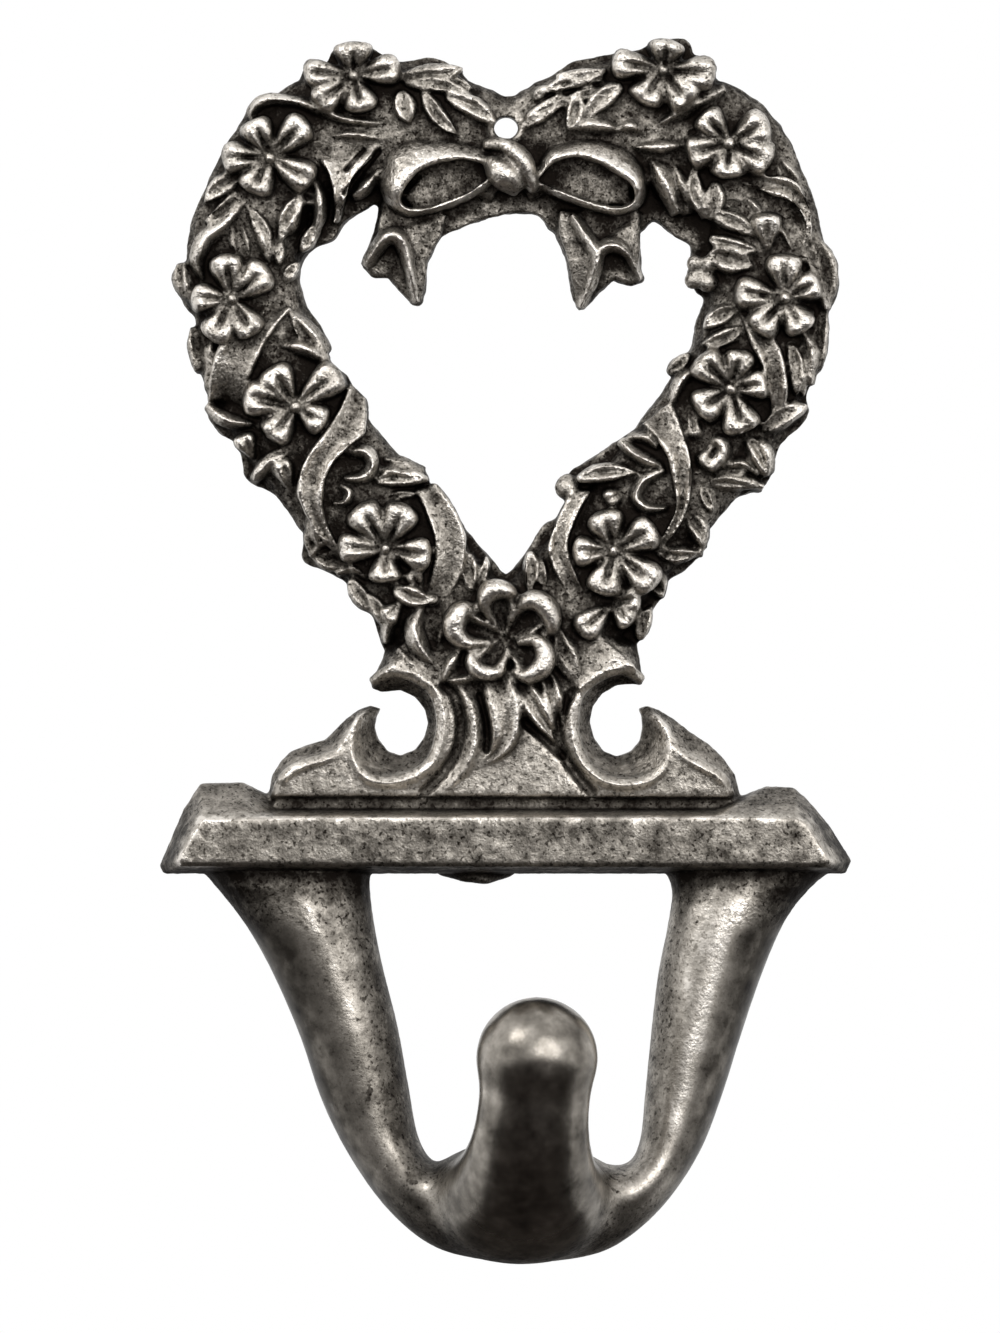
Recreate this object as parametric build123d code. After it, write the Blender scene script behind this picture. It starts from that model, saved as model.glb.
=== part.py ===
"""One-piece cast wall hook: a heart-shaped flower wreath above a ledge and a two-legged hook.

Drawn with x to the right, y up and z out from the wall, in millimetres. The finished casting is
turned so that the wall is the XZ plane, the front faces -Y and the nail hole is the origin.
"""
import os
from math import atan2, cos, degrees, radians, sin, sqrt

from build123d import *

# Heart band, measured to its outer edge
LOBE_OFFSET = 14.0
LOBE_DROP = 10.0
LOBE_RADIUS = 17.5
LOBE_END = 145
NOTCH_RADIUS = 7.0
SIDE_RADIUS = 29.0
POINT_HALF_ANGLE = 37.4
BAND_WIDTH = 12.9
BAND_HEIGHT = 4.6
BAND_EDGE = 2.6
BAND_SLOPE = 2.0
NAIL_HOLE_RADIUS = 1.25
OVAL_FACETS = 16

# Flowers, as (place along the half band, shift outwards, turn, bearings of its leaves)
LEFT_FLOWERS = [
    (0.183, 3.6, 12, (6, -20, -46)),
    (0.287, 1.0, 40, (216, 270, 292)),
    (0.447, 1.2, 28, (126, 255, 318)),
    (0.587, -1.2, 40, (236, 48)),
    (0.778, 0.1, 56, (62, 152, 300)),
]
RIGHT_FLOWERS = [
    (0.185, 4.0, 16, (178, 204, 228)),
    (0.267, 1.0, 49, (-36, 260, 222)),
    (0.445, 1.7, 20, (112, 150, 262, 216)),
    (0.561, -1.0, 70, (-62, -24, 132)),
    (0.788, -0.7, 36, (12, 172, 252)),
]
LEFT_BUD = (0.695, -0.4, 0)
RIGHT_BUD = (0.725, -0.5, 36)
FLOWER_RADIUS = 4.3
FLOWER_HEIGHT = 7.2
FLOWER_DISH = 1.5
PETALS = 5
PETAL_WIDTH = 3.4
PETAL_FACETS = 6
PETAL_GROOVE = 0.8
PETAL_ROOT = 0.45
BEAD_RADIUS = 0.55
PAD_RADIUS = 4.6
PAD_HEIGHT = 3.6
BUD_SCALE = 0.8
POINT_FLOWER_SCALE = 1.15
POINT_FLOWER_RISE = 6.2

# Leaves
LEAF_LENGTH = 5.2
LEAF_WIDTH = 2.5
LEAF_HEIGHT = 5.6
LEAF_GROOVE = 0.7
LEAF_STEP = 0.3
LEAF_START = 3.2
POINT_LEAVES = [(-94, 1.45), (-58, 1.15), (-128, 1.0), (20, 0.9), (160, 0.9)]

# Ribbon and bow
RIBBON_WIDTH = 3.4
RIBBON_HEIGHT = 6.2
RIBBON_LEAN = 38
RIBBON_SAG = 1.4
RIBBON_PROUD = 0.4
LOOP_LENGTH = 13.4
LOOP_RADIUS = 3.8
LOOP_TILT = 9
LOOP_HEIGHT = 7.4
LOOP_POCKET = 3.0
LOOP_RIM = 1.25
KNOT_WIDTH = 4.7
KNOT_LENGTH = 5.8
KNOT_HEIGHT = 8.4
TAIL_LENGTH = 12.0
TAIL_WIDTH = 6.2
TAIL_HEIGHT = 4.8
TAIL_SPLAY = 12
TAIL_NOTCH = 2.6
TAIL_SPREAD = 9.1
TAIL_DROP = 6.0
BOW_DROP = 4.4
FOLD_WIDTH = 14.0
FOLD_LENGTH = 8.4
FOLD_HEIGHT = 5.0
FOLD_DROP = 1.4
FOLD_SHIFT = 1.5

# Pediment with its two scroll holes
STEM_WIDTH = 25.0
PEDIMENT_HEIGHT = 6.0
PEDIMENT_EDGE = 2.8
PEDIMENT_BEVEL = 1.4
PEDIMENT_WIDTH = 49.0
SCROLL_SPACING = 22.2
SCROLL_RISE = 6.6
SCROLL_HOLE_RADIUS = 3.1
SCROLL_RIM_RADIUS = 5.1
SCROLL_RIM_DEPTH = 2.6
SCROLL_GAP = 2.0
SCROLL_LIP = 1.5
SCROLL_GAP_ANGLE = 138

# Ledge
LEDGE_DROP = 68.2
LEDGE_TALL = 8.9
LEDGE_TOP_WIDTH = 62.6
LEDGE_BOTTOM_WIDTH = 72.0
LEDGE_HEIGHT = 9.5
LEDGE_EDGE = 3.6
LEDGE_TOP_BEVEL = 3.2
LEDGE_SIDE_BEVEL = 2.3
LEDGE_BOTTOM_BEVEL = 0.7
CHANNEL_DROP = 1.5

# Legs, as (outer edge, its drop, inner edge, its drop, height): drops are from under the ledge
LEG_SHIFT = 1.5
LEG_STATIONS = [
    (33.3, -0.6, 15.0, -0.6, 6.6),
    (30.9, 1.6, 15.7, 1.7, 7.2),
    (28.0, 5.3, 15.2, 5.6, 7.6),
    (25.4, 10.8, 14.3, 10.3, 7.7),
    (22.8, 17.4, 13.1, 16.5, 7.8),
    (20.8, 23.6, 12.3, 22.7, 7.9),
    (18.2, 29.4, 11.5, 28.1, 8.3),
    (14.2, 35.1, 9.5, 30.5, 9.4),
    (9.3, 39.0, 6.1, 30.2, 10.6),
    (4.4, 40.3, 2.9, 29.8, 11.4),
    (0.0, 40.6, 0.0, 29.7, 11.6),
]
# Section of a leg from outer to inner edge, as shares of its width and height
LEG_SECTION = [
    (0, 0),
    (0, 0.3),
    (0.06, 0.58),
    (0.18, 0.81),
    (0.36, 0.95),
    (0.56, 1),
    (0.76, 0.93),
    (0.92, 0.74),
    (1, 0.45),
    (1, 0),
]
# Prong, as (lean, drop from under the ledge, reach from the wall, half width, half depth)
PRONG_STATIONS = [
    (0.0, 34.2, 4.0, 11.4, 6.3),
    (0.1, 33.8, 8.0, 9.8, 6.6),
    (0.3, 32.7, 12.0, 8.4, 6.4),
    (0.5, 30.2, 16.0, 7.1, 5.8),
    (0.8, 27.2, 18.8, 6.2, 5.3),
    (1.1, 24.1, 20.0, 5.8, 5.0),
    (1.3, 21.2, 20.1, 5.8, 5.2),
]
BALL_LEAN = 1.6
BALL_DROP = 18.6
BALL_REACH = 20.0
BALL_RADIUS = 6.3
BALL_RINGS = [-40, -5, 25, 50, 72]


def heart_arcs(inset):
    """Half outline of the heart from notch to point, drawn inside the outer edge by the inset."""
    notch_radius = NOTCH_RADIUS + inset
    lobe_radius = LOBE_RADIUS - inset
    side_radius = SIDE_RADIUS - inset
    notch_y = sqrt((NOTCH_RADIUS + LOBE_RADIUS) ** 2 - LOBE_OFFSET**2) - LOBE_DROP
    meeting = degrees(atan2(notch_y + LOBE_DROP, LOBE_OFFSET))
    notch = CenterArc((0, notch_y), notch_radius, 270, meeting - 90)
    lobe = CenterArc((-LOBE_OFFSET, -LOBE_DROP), lobe_radius, meeting, LOBE_END - meeting)
    back = SIDE_RADIUS - LOBE_RADIUS
    side_x = -LOBE_OFFSET - back * cos(radians(LOBE_END))
    side_y = -LOBE_DROP - back * sin(radians(LOBE_END))
    side = CenterArc((side_x, side_y), side_radius, LOBE_END, 180 + POINT_HALF_ANGLE - LOBE_END)
    low = side @ 1
    point = (0, low.Y + low.X / sin(radians(POINT_HALF_ANGLE)) * cos(radians(POINT_HALF_ANGLE)))
    return [notch, lobe, side, Line(low, point)]


def heart_face(inset):
    half = heart_arcs(inset)
    return make_face(half + [edge.mirror(Plane.YZ) for edge in half])


PATH = Wire(heart_arcs(BAND_WIDTH / 2))
POINT = PATH @ 1


def on_band(side, place, shift):
    """Spot on the band: side -1 is left and 1 is right, the shift is outwards from mid-band."""
    spot = PATH @ place
    along = PATH % place
    outwards = Vector(along.Y, -along.X)
    spot = spot + outwards * shift
    return Vector(-side * spot.X, spot.Y), degrees(atan2(along.Y, -side * along.X))


def bevelled(outer, inner, edge, height):
    """Upright edge from the wall, then a slope from the outer face in to the inner one."""
    foot = extrude(outer, edge)
    slope = loft([Pos(0, 0, edge) * outer, Pos(0, 0, height) * inner], ruled=True)
    return foot + slope


def band():
    outside = bevelled(heart_face(0), heart_face(BAND_SLOPE), BAND_EDGE, BAND_HEIGHT)
    throat = extrude(heart_face(BAND_WIDTH), BAND_HEIGHT)
    mouth = loft(
        [
            Pos(0, 0, BAND_EDGE) * heart_face(BAND_WIDTH),
            Pos(0, 0, BAND_HEIGHT) * heart_face(BAND_WIDTH - BAND_SLOPE),
        ],
        ruled=True,
    )
    return outside - throat - mouth


def oval(half_width, half_height):
    """Oval with flat facets."""
    turns = [radians(360 * i / OVAL_FACETS) for i in range(OVAL_FACETS)]
    return make_face(Polyline(*[(half_width * cos(a), half_height * sin(a)) for a in turns], close=True))


def flower():
    """Five petals round a bead on a round pad, each sloping up to its tip and grooved."""
    tip = PETAL_WIDTH / 2
    root = Pos(PETAL_ROOT * 2, 0) * RegularPolygon(PETAL_ROOT, 4)
    ends = root + Pos(FLOWER_RADIUS - tip, 0) * RegularPolygon(tip, PETAL_FACETS)
    base = PAD_HEIGHT / 2
    petal = Pos(0, 0, base) * extrude(make_hull(ends.edges()), FLOWER_HEIGHT - base)
    floor = FLOWER_HEIGHT - FLOWER_DISH
    slope = degrees(atan2(FLOWER_DISH, FLOWER_RADIUS))
    tilt = Pos(0, 0, floor) * Rot(0, -slope, 0)
    above = Box(FLOWER_RADIUS * 2, PETAL_WIDTH * 2, FLOWER_DISH * 2)
    petal -= tilt * Pos(FLOWER_RADIUS / 2, 0, FLOWER_DISH) * above
    groove = Rot(45, 0, 0) * Box(FLOWER_RADIUS * 0.8, PETAL_GROOVE, PETAL_GROOVE)
    petal -= tilt * Pos(FLOWER_RADIUS * 0.4, 0, 0) * groove
    petals = [Rot(0, 0, i * 360 / PETALS) * petal for i in range(PETALS)]
    bead = extrude(RegularPolygon(BEAD_RADIUS, PETAL_FACETS), floor + BEAD_RADIUS)
    pad = extrude(oval(PAD_RADIUS, PAD_RADIUS), PAD_HEIGHT)
    return pad + petals + bead


def leaf(length, width, height):
    """Pointed leaf along x with a grooved midrib, its stalk end at the origin."""
    lower = Polyline((0, 0), (length * 0.3, -width / 2), (length * 0.7, -width * 0.4), (length, 0))
    blade = extrude(make_face([lower, lower.mirror(Plane.XZ)]), height)
    groove = Rot(45, 0, 0) * Box(length * 1.4, LEAF_GROOVE, LEAF_GROOVE)
    return blade - Pos(length / 2, 0, height) * groove


def ribbon_turn(side, place):
    """Strip of ribbon wound slantwise over the band."""
    spot, along = on_band(side, place, 0)
    reach = BAND_WIDTH * 0.75
    arc = ThreePointArc((-reach, 0), (0, RIBBON_SAG), (reach, 0))
    strip = extrude(SlotArc(arc, RIBBON_WIDTH), RIBBON_HEIGHT)
    zone = extrude(heart_face(-RIBBON_PROUD) - heart_face(BAND_WIDTH + RIBBON_PROUD), RIBBON_HEIGHT)
    return zone & Pos(spot.X, spot.Y) * Rot(0, 0, along + 90 + side * RIBBON_LEAN) * strip


def garland(side, flowers, bud):
    """Ribbon turns between the flowers, then each flower with its pad and leaves."""
    places = [entry[0] for entry in flowers] + [1]
    groups = [[ribbon_turn(side, (a + b) / 2) for a, b in zip(places, places[1:])]]
    blossom = flower()
    for place, shift, turn, bearings in flowers:
        spot, along = on_band(side, place, shift)
        centre = Pos(spot.X, spot.Y)
        group = [centre * Rot(0, 0, turn) * blossom]
        for i, bearing in enumerate(bearings):
            blade = leaf(LEAF_LENGTH, LEAF_WIDTH, LEAF_HEIGHT - i * LEAF_STEP)
            group.append(centre * Rot(0, 0, bearing) * Pos(LEAF_START, 0) * blade)
        groups.append(group)
    place, shift, turn = bud
    spot, along = on_band(side, place, shift)
    groups.append([Pos(spot.X, spot.Y) * Rot(0, 0, turn) * blossom.scale(BUD_SCALE)])
    return groups


def bow():
    root = Pos(LOOP_RADIUS, 0) * oval(LOOP_RADIUS / 2, LOOP_RADIUS / 2)
    end = Pos(LOOP_LENGTH - LOOP_RADIUS, 0) * oval(LOOP_RADIUS, LOOP_RADIUS)
    outline = make_hull((root + end).edges())
    loop = extrude(outline, LOOP_HEIGHT)
    loop -= Pos(0, 0, LOOP_HEIGHT - LOOP_POCKET) * extrude(offset(outline, -LOOP_RIM), LOOP_POCKET)
    loop = Pos(0, -BOW_DROP) * Rot(0, 0, -LOOP_TILT) * loop
    knot = extrude(oval(KNOT_WIDTH / 2, KNOT_LENGTH / 2), KNOT_HEIGHT)
    knot = Pos(0, -BOW_DROP) * knot
    edge = TAIL_WIDTH / 2
    outer_tip = (edge, TAIL_NOTCH - TAIL_LENGTH)
    corners = [(edge, 0), (-edge, 0), (-edge, -TAIL_LENGTH), (0, TAIL_NOTCH * 2 - TAIL_LENGTH), outer_tip]
    tail = extrude(make_face(Polyline(*corners, close=True)), TAIL_HEIGHT)
    tail = Pos(TAIL_SPREAD, -TAIL_DROP) * Rot(0, 0, TAIL_SPLAY) * tail
    crown = LOBE_RADIUS - BAND_WIDTH - LOBE_DROP
    fold = extrude(oval(FOLD_WIDTH / 2, FOLD_LENGTH / 2), FOLD_HEIGHT)
    fold = Pos(LOBE_OFFSET + FOLD_SHIFT, crown - FOLD_DROP) * fold
    half = fold + tail + loop
    return [half, mirror(half, Plane.YZ), knot]


def pediment():
    foot = -LEDGE_DROP - CHANNEL_DROP
    stem = STEM_WIDTH / 2
    wide = PEDIMENT_WIDTH / 2
    rise = SCROLL_RISE - LEDGE_DROP
    corners = [
        (0, rise + SCROLL_HOLE_RADIUS * 4),
        (-stem, rise + SCROLL_HOLE_RADIUS * 2.7),
        (-stem - SCROLL_LIP, rise + SCROLL_HOLE_RADIUS + SCROLL_LIP / 2),
        (-stem - SCROLL_LIP, rise + SCROLL_LIP),
        (-wide + SCROLL_LIP, rise - SCROLL_RISE * 0.62),
        (-wide, -LEDGE_DROP),
        (-wide, foot),
        (0, foot),
    ]
    half = make_face(Polyline(*corners, close=True))
    outline = half + half.mirror(Plane.YZ)
    inner = offset(outline, -PEDIMENT_BEVEL, kind=Kind.INTERSECTION)
    plate = bevelled(outline, inner, PEDIMENT_EDGE, PEDIMENT_HEIGHT)
    hole = Pos(0, 0, PEDIMENT_HEIGHT / 2) * Cylinder(SCROLL_HOLE_RADIUS, PEDIMENT_HEIGHT * 2)
    slope = Cone(SCROLL_HOLE_RADIUS, SCROLL_RIM_RADIUS, SCROLL_RIM_DEPTH)
    hole += Pos(0, 0, PEDIMENT_HEIGHT - SCROLL_RIM_DEPTH / 2) * slope
    mouth = Box(STEM_WIDTH / 2, SCROLL_GAP, PEDIMENT_HEIGHT * 4)
    hole += Rot(0, 0, SCROLL_GAP_ANGLE) * Pos(STEM_WIDTH / 4, 0) * mouth
    hole = Pos(-SCROLL_SPACING / 2, rise) * hole
    return plate - hole - mirror(hole, Plane.YZ)


def ledge():
    top = -LEDGE_DROP
    base = top - LEDGE_TALL
    narrow = LEDGE_TOP_WIDTH / 2
    wide = LEDGE_BOTTOM_WIDTH / 2
    wall = [(-narrow, top), (narrow, top), (wide, base), (-wide, base)]
    face_wide = wide - LEDGE_SIDE_BEVEL
    face_top = top - LEDGE_TOP_BEVEL
    face_base = base + LEDGE_BOTTOM_BEVEL
    front = [(-narrow, face_top), (narrow, face_top), (face_wide, face_base), (-face_wide, face_base)]
    outer = make_face(Polyline(*wall, close=True))
    inner = make_face(Polyline(*front, close=True))
    block = bevelled(outer, inner, LEDGE_EDGE, LEDGE_HEIGHT)
    above = top + LEDGE_TOP_BEVEL
    floor = top - CHANNEL_DROP
    corners = [(floor, LEDGE_EDGE), (face_top, LEDGE_HEIGHT), (above, LEDGE_HEIGHT), (above, LEDGE_EDGE)]
    channel = Plane.YZ * make_face(Polyline(*corners, close=True))
    return block - extrude(channel, PEDIMENT_WIDTH / 2, both=True)


def legs():
    """Two half-round legs that run down from the ledge and meet in a round foot."""
    underside = -LEDGE_DROP - LEDGE_TALL
    sections = []
    for outer, outer_drop, inner, inner_drop, height in LEG_STATIONS:
        edge = Vector(-outer, underside - outer_drop)
        across = Vector(outer - inner, outer_drop - inner_drop)
        corners = [edge + across * share + Vector(0, 0, height * rise) for share, rise in LEG_SECTION]
        sections.append(make_face(Polyline(*corners, close=True)))
    leg = loft(sections, ruled=True)
    return Pos(LEG_SHIFT, 0) * (leg + mirror(leg, Plane.YZ))


def prong():
    """Finger that turns forward out of the foot and up to a ball."""
    underside = -LEDGE_DROP - LEDGE_TALL
    last = len(PRONG_STATIONS) - 1
    sections = []
    for i, (lean, drop, reach, wide, deep) in enumerate(PRONG_STATIONS):
        before = PRONG_STATIONS[max(i - 1, 0)]
        after = PRONG_STATIONS[min(i + 1, last)]
        spot = (LEG_SHIFT + lean, underside - drop, reach)
        plane = Plane(spot, x_dir=(1, 0, 0), z_dir=(0, before[1] - after[1], after[2] - before[2]))
        sections.append(plane * oval(wide, deep))
    finger = loft(sections, ruled=True)
    rings = []
    for ring in BALL_RINGS:
        height = BALL_RADIUS * sin(radians(ring))
        middle = (LEG_SHIFT + BALL_LEAN, underside - BALL_DROP + height, BALL_REACH)
        ring_radius = BALL_RADIUS * cos(radians(ring))
        rings.append(Plane(middle, x_dir=(1, 0, 0), z_dir=(0, 1, 0)) * oval(ring_radius, ring_radius))
    return [finger, loft(rings, ruled=True)]


point_seat = Pos(POINT.X, POINT.Y + POINT_FLOWER_RISE)
point_group = [point_seat * flower().scale(POINT_FLOWER_SCALE)]
for turn, size in POINT_LEAVES:
    blade = leaf(LEAF_LENGTH * size, LEAF_WIDTH * size, PEDIMENT_HEIGHT + size)
    point_group.append(point_seat * Rot(0, 0, turn) * Pos(LEAF_START, 0) * blade)
groups = garland(-1, LEFT_FLOWERS, LEFT_BUD) + garland(1, RIGHT_FLOWERS, RIGHT_BUD)
groups += [bow(), [pediment(), ledge()], point_group, [legs()], prong()]
casting = band()
for group in groups:
    casting += group
casting -= Cylinder(NAIL_HOLE_RADIUS, KNOT_HEIGHT * 4)
casting = Plane.XZ.location * casting
print(len(casting.solids()), "solid,", round(casting.volume), "cubic mm,", casting.bounding_box().size)

os.makedirs("parts", exist_ok=True)
export_step(casting, "parts/cast_hook.step")
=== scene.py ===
import math
import bmesh
import bpy
import numpy as np
from mathutils import Matrix, Vector, noise
from mathutils.bvhtree import BVHTree


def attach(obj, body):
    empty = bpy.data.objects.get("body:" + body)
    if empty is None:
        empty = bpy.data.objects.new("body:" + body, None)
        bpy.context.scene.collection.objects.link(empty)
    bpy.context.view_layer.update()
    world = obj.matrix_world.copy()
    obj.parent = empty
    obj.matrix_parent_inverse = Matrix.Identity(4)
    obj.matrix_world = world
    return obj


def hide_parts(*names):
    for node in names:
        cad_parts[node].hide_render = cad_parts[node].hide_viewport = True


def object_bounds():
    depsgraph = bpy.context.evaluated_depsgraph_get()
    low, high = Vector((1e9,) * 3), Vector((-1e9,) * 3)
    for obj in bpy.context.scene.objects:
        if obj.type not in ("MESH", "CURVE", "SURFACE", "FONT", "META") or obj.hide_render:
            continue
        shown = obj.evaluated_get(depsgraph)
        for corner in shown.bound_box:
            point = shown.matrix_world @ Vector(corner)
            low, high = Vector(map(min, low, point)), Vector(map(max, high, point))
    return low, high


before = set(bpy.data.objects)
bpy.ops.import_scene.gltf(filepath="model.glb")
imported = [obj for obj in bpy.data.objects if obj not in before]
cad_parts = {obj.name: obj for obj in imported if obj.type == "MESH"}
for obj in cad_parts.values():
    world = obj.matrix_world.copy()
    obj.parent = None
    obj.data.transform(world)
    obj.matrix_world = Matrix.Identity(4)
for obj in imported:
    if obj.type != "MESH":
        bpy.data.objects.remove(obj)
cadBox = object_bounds()  # the solids' own box, before anything is replaced
print("frame loaded")

# places are read off the front view in pixels, rises are millimetres out from the wall
mm = 0.001
sheet = {
    "pixel": 0.0001035,
    "tall": 1333,
    "axisX": 506.0,
    "holeY": 127.0,
    "middleX": 500.0,
    "middleY": 666.5,
    "distance": 900.0,
    "trueRise": 5,  # where a pixel has its stated size
}


def at(px, py, rise):
    step = sheet["pixel"]
    # nearer things look larger
    near = min(1.0, (sheet["distance"] - rise) / (sheet["distance"] - sheet["trueRise"]))
    px = sheet["middleX"] + (px - sheet["middleX"]) * near
    py = sheet["middleY"] + (py - sheet["middleY"]) * near
    return Vector(((px - sheet["axisX"]) * step, -rise * mm, (sheet["holeY"] - py) * step))


def level(outline, rise):
    return [at(px, py, rise) for px, py in outline]


def curve(points, steps):  # smooth run through a few placed points
    run = []
    last = len(points) - 1
    for i in range(last):
        a, b = points[max(i - 1, 0)], points[i]
        c, d = points[i + 1], points[min(i + 2, last)]
        for s in range(steps):
            t = s / steps
            run.append(tuple(
                0.5 * (2 * q + (r - p) * t + (2 * p - 5 * q + 4 * r - w) * t * t
                       + (3 * q - p - 3 * r + w) * t ** 3)
                for p, q, r, w in zip(a, b, c, d)))
    run.append(tuple(points[-1]))
    return run


casting = bmesh.new()
lumpMesh = bpy.data.meshes.new("lump")


def pour(bm):  # adds a finished lump to the casting
    bmesh.ops.recalc_face_normals(bm, faces=bm.faces)
    bm.to_mesh(lumpMesh)
    bm.free()
    casting.from_mesh(lumpMesh)


def skin(rings):  # closed rings bridged one to the next, both ends closed
    bm = bmesh.new()
    loops = []
    for ring in rings:
        verts = [bm.verts.new(p) for p in ring]
        loops.append([bm.edges.new((verts[i - 1], verts[i])) for i in range(len(verts))])
    for first, second in zip(loops, loops[1:]):
        bmesh.ops.bridge_loops(bm, edges=first + second)
    for end in (loops[0], loops[-1]):
        bmesh.ops.edgeloop_fill(bm, edges=end)
    pour(bm)


# sections of the carved strips: place across, share of the edge's fall, share of the hollow
strip = {
    "petal": [(-1, 1, 0), (-0.9, 0.5, 0), (-0.72, 0.16, 0), (-0.46, 0, 0), (-0.24, 0.04, 0.1),
              (-0.12, 0.04, 0.5), (0, 0.04, 1)],
    "leaf": [(-1, 1, 0), (-0.82, 0.34, 0), (-0.62, 0, 0), (-0.34, 0, 0.5), (0, 0, 1)],
    "dish": [(-1, 1, 0), (-0.92, 0.4, 0), (-0.8, 0, 0), (-0.64, 0, 0.25), (-0.4, 0, 0.75), (0, 0, 1)],
    "round": [(-1, 1, 0), (-0.9, 0.56, 0), (-0.7, 0.28, 0), (-0.4, 0.08, 0), (0, 0, 1)],
    "pleat": [(-1, 1, 0), (-0.8, 0.72, 0), (-0.45, 0.38, 0), (-0.16, 0.06, 0), (0, 0, 0)],
    "leastHalf": 0.5,
    "leastRise": 0.2,
}


def blade(points, kind, fall, hollows=None):  # points: x, y, rise, half width
    edge = strip[kind]
    section = edge + [(-u, e, h) for u, e, h in edge[-2::-1]]
    rings = []
    for i, (px, py, rise, half) in enumerate(points):
        before, after = points[max(i - 1, 0)], points[min(i + 1, len(points) - 1)]
        dx, dy = after[0] - before[0], after[1] - before[1]
        run = math.hypot(dx, dy) or 1.0
        half = max(half, strip["leastHalf"])
        sx, sy = -dy / run * half, dx / run * half
        hollow = hollows[i] if hollows else 0.0
        ring = [at(px + sx * u, py + sy * u, max(rise - fall * e - hollow * h, strip["leastRise"]))
                for u, e, h in section]
        rings.append(ring + [at(px + sx, py + sy, 0), at(px - sx, py - sy, 0)])
    skin(rings)


def carve(runs, steps, kind, fall):
    for points in runs:
        blade(curve(points, steps), kind, fall)


def bars(runs, steps, section):  # stations of a run: outer edge, inner edge, rise
    for stations in runs:
        rings = []
        for outX, outY, inX, inY, rise in curve(stations, steps):
            ring = [at(outX + (inX - outX) * s, outY + (inY - outY) * s, rise * h) for s, h in section]
            rings.append(ring + [at(inX, inY, 0), at(outX, outY, 0)])
        skin(rings)


def flap(corners):  # sheet with a height of its own at each corner
    skin([[at(px, py, 0) for px, py, rise in corners], [at(px, py, rise) for px, py, rise in corners]])


def raiseFront(bm, rise):  # flat faces on the wall drawn out to a solid
    made = bmesh.ops.extrude_face_region(bm, geom=bm.faces[:])["geom"]
    top = [v for v in made if isinstance(v, bmesh.types.BMVert)]
    bmesh.ops.translate(bm, verts=top, vec=(0, -rise * mm, 0))
    return [e for e in made if isinstance(e, bmesh.types.BMEdge)]


def slab(outline, rise, bevel=0):  # flat piece, its front edge eased
    bm = bmesh.new()
    bm.faces.new([bm.verts.new(p) for p in level(outline, 0)])
    rim = raiseFront(bm, rise)
    if bevel:
        bmesh.ops.bevel(bm, geom=rim, offset=bevel * mm, offset_type="OFFSET", affect="EDGES",
                        segments=3, profile=0.5, material=-1, clamp_overlap=True)
    bmesh.ops.triangulate(bm, faces=bm.faces)
    pour(bm)


def knob(px, py, rise, radius, flat=1.0):  # rounded bead or berry
    bm = bmesh.new()
    step = sheet["pixel"] * radius
    place = Matrix.Translation(at(px, py, rise)) @ Matrix.Diagonal((step, step * flat, step, 1))
    bmesh.ops.create_icosphere(bm, subdivisions=3, radius=1, matrix=place)
    pour(bm)


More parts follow.
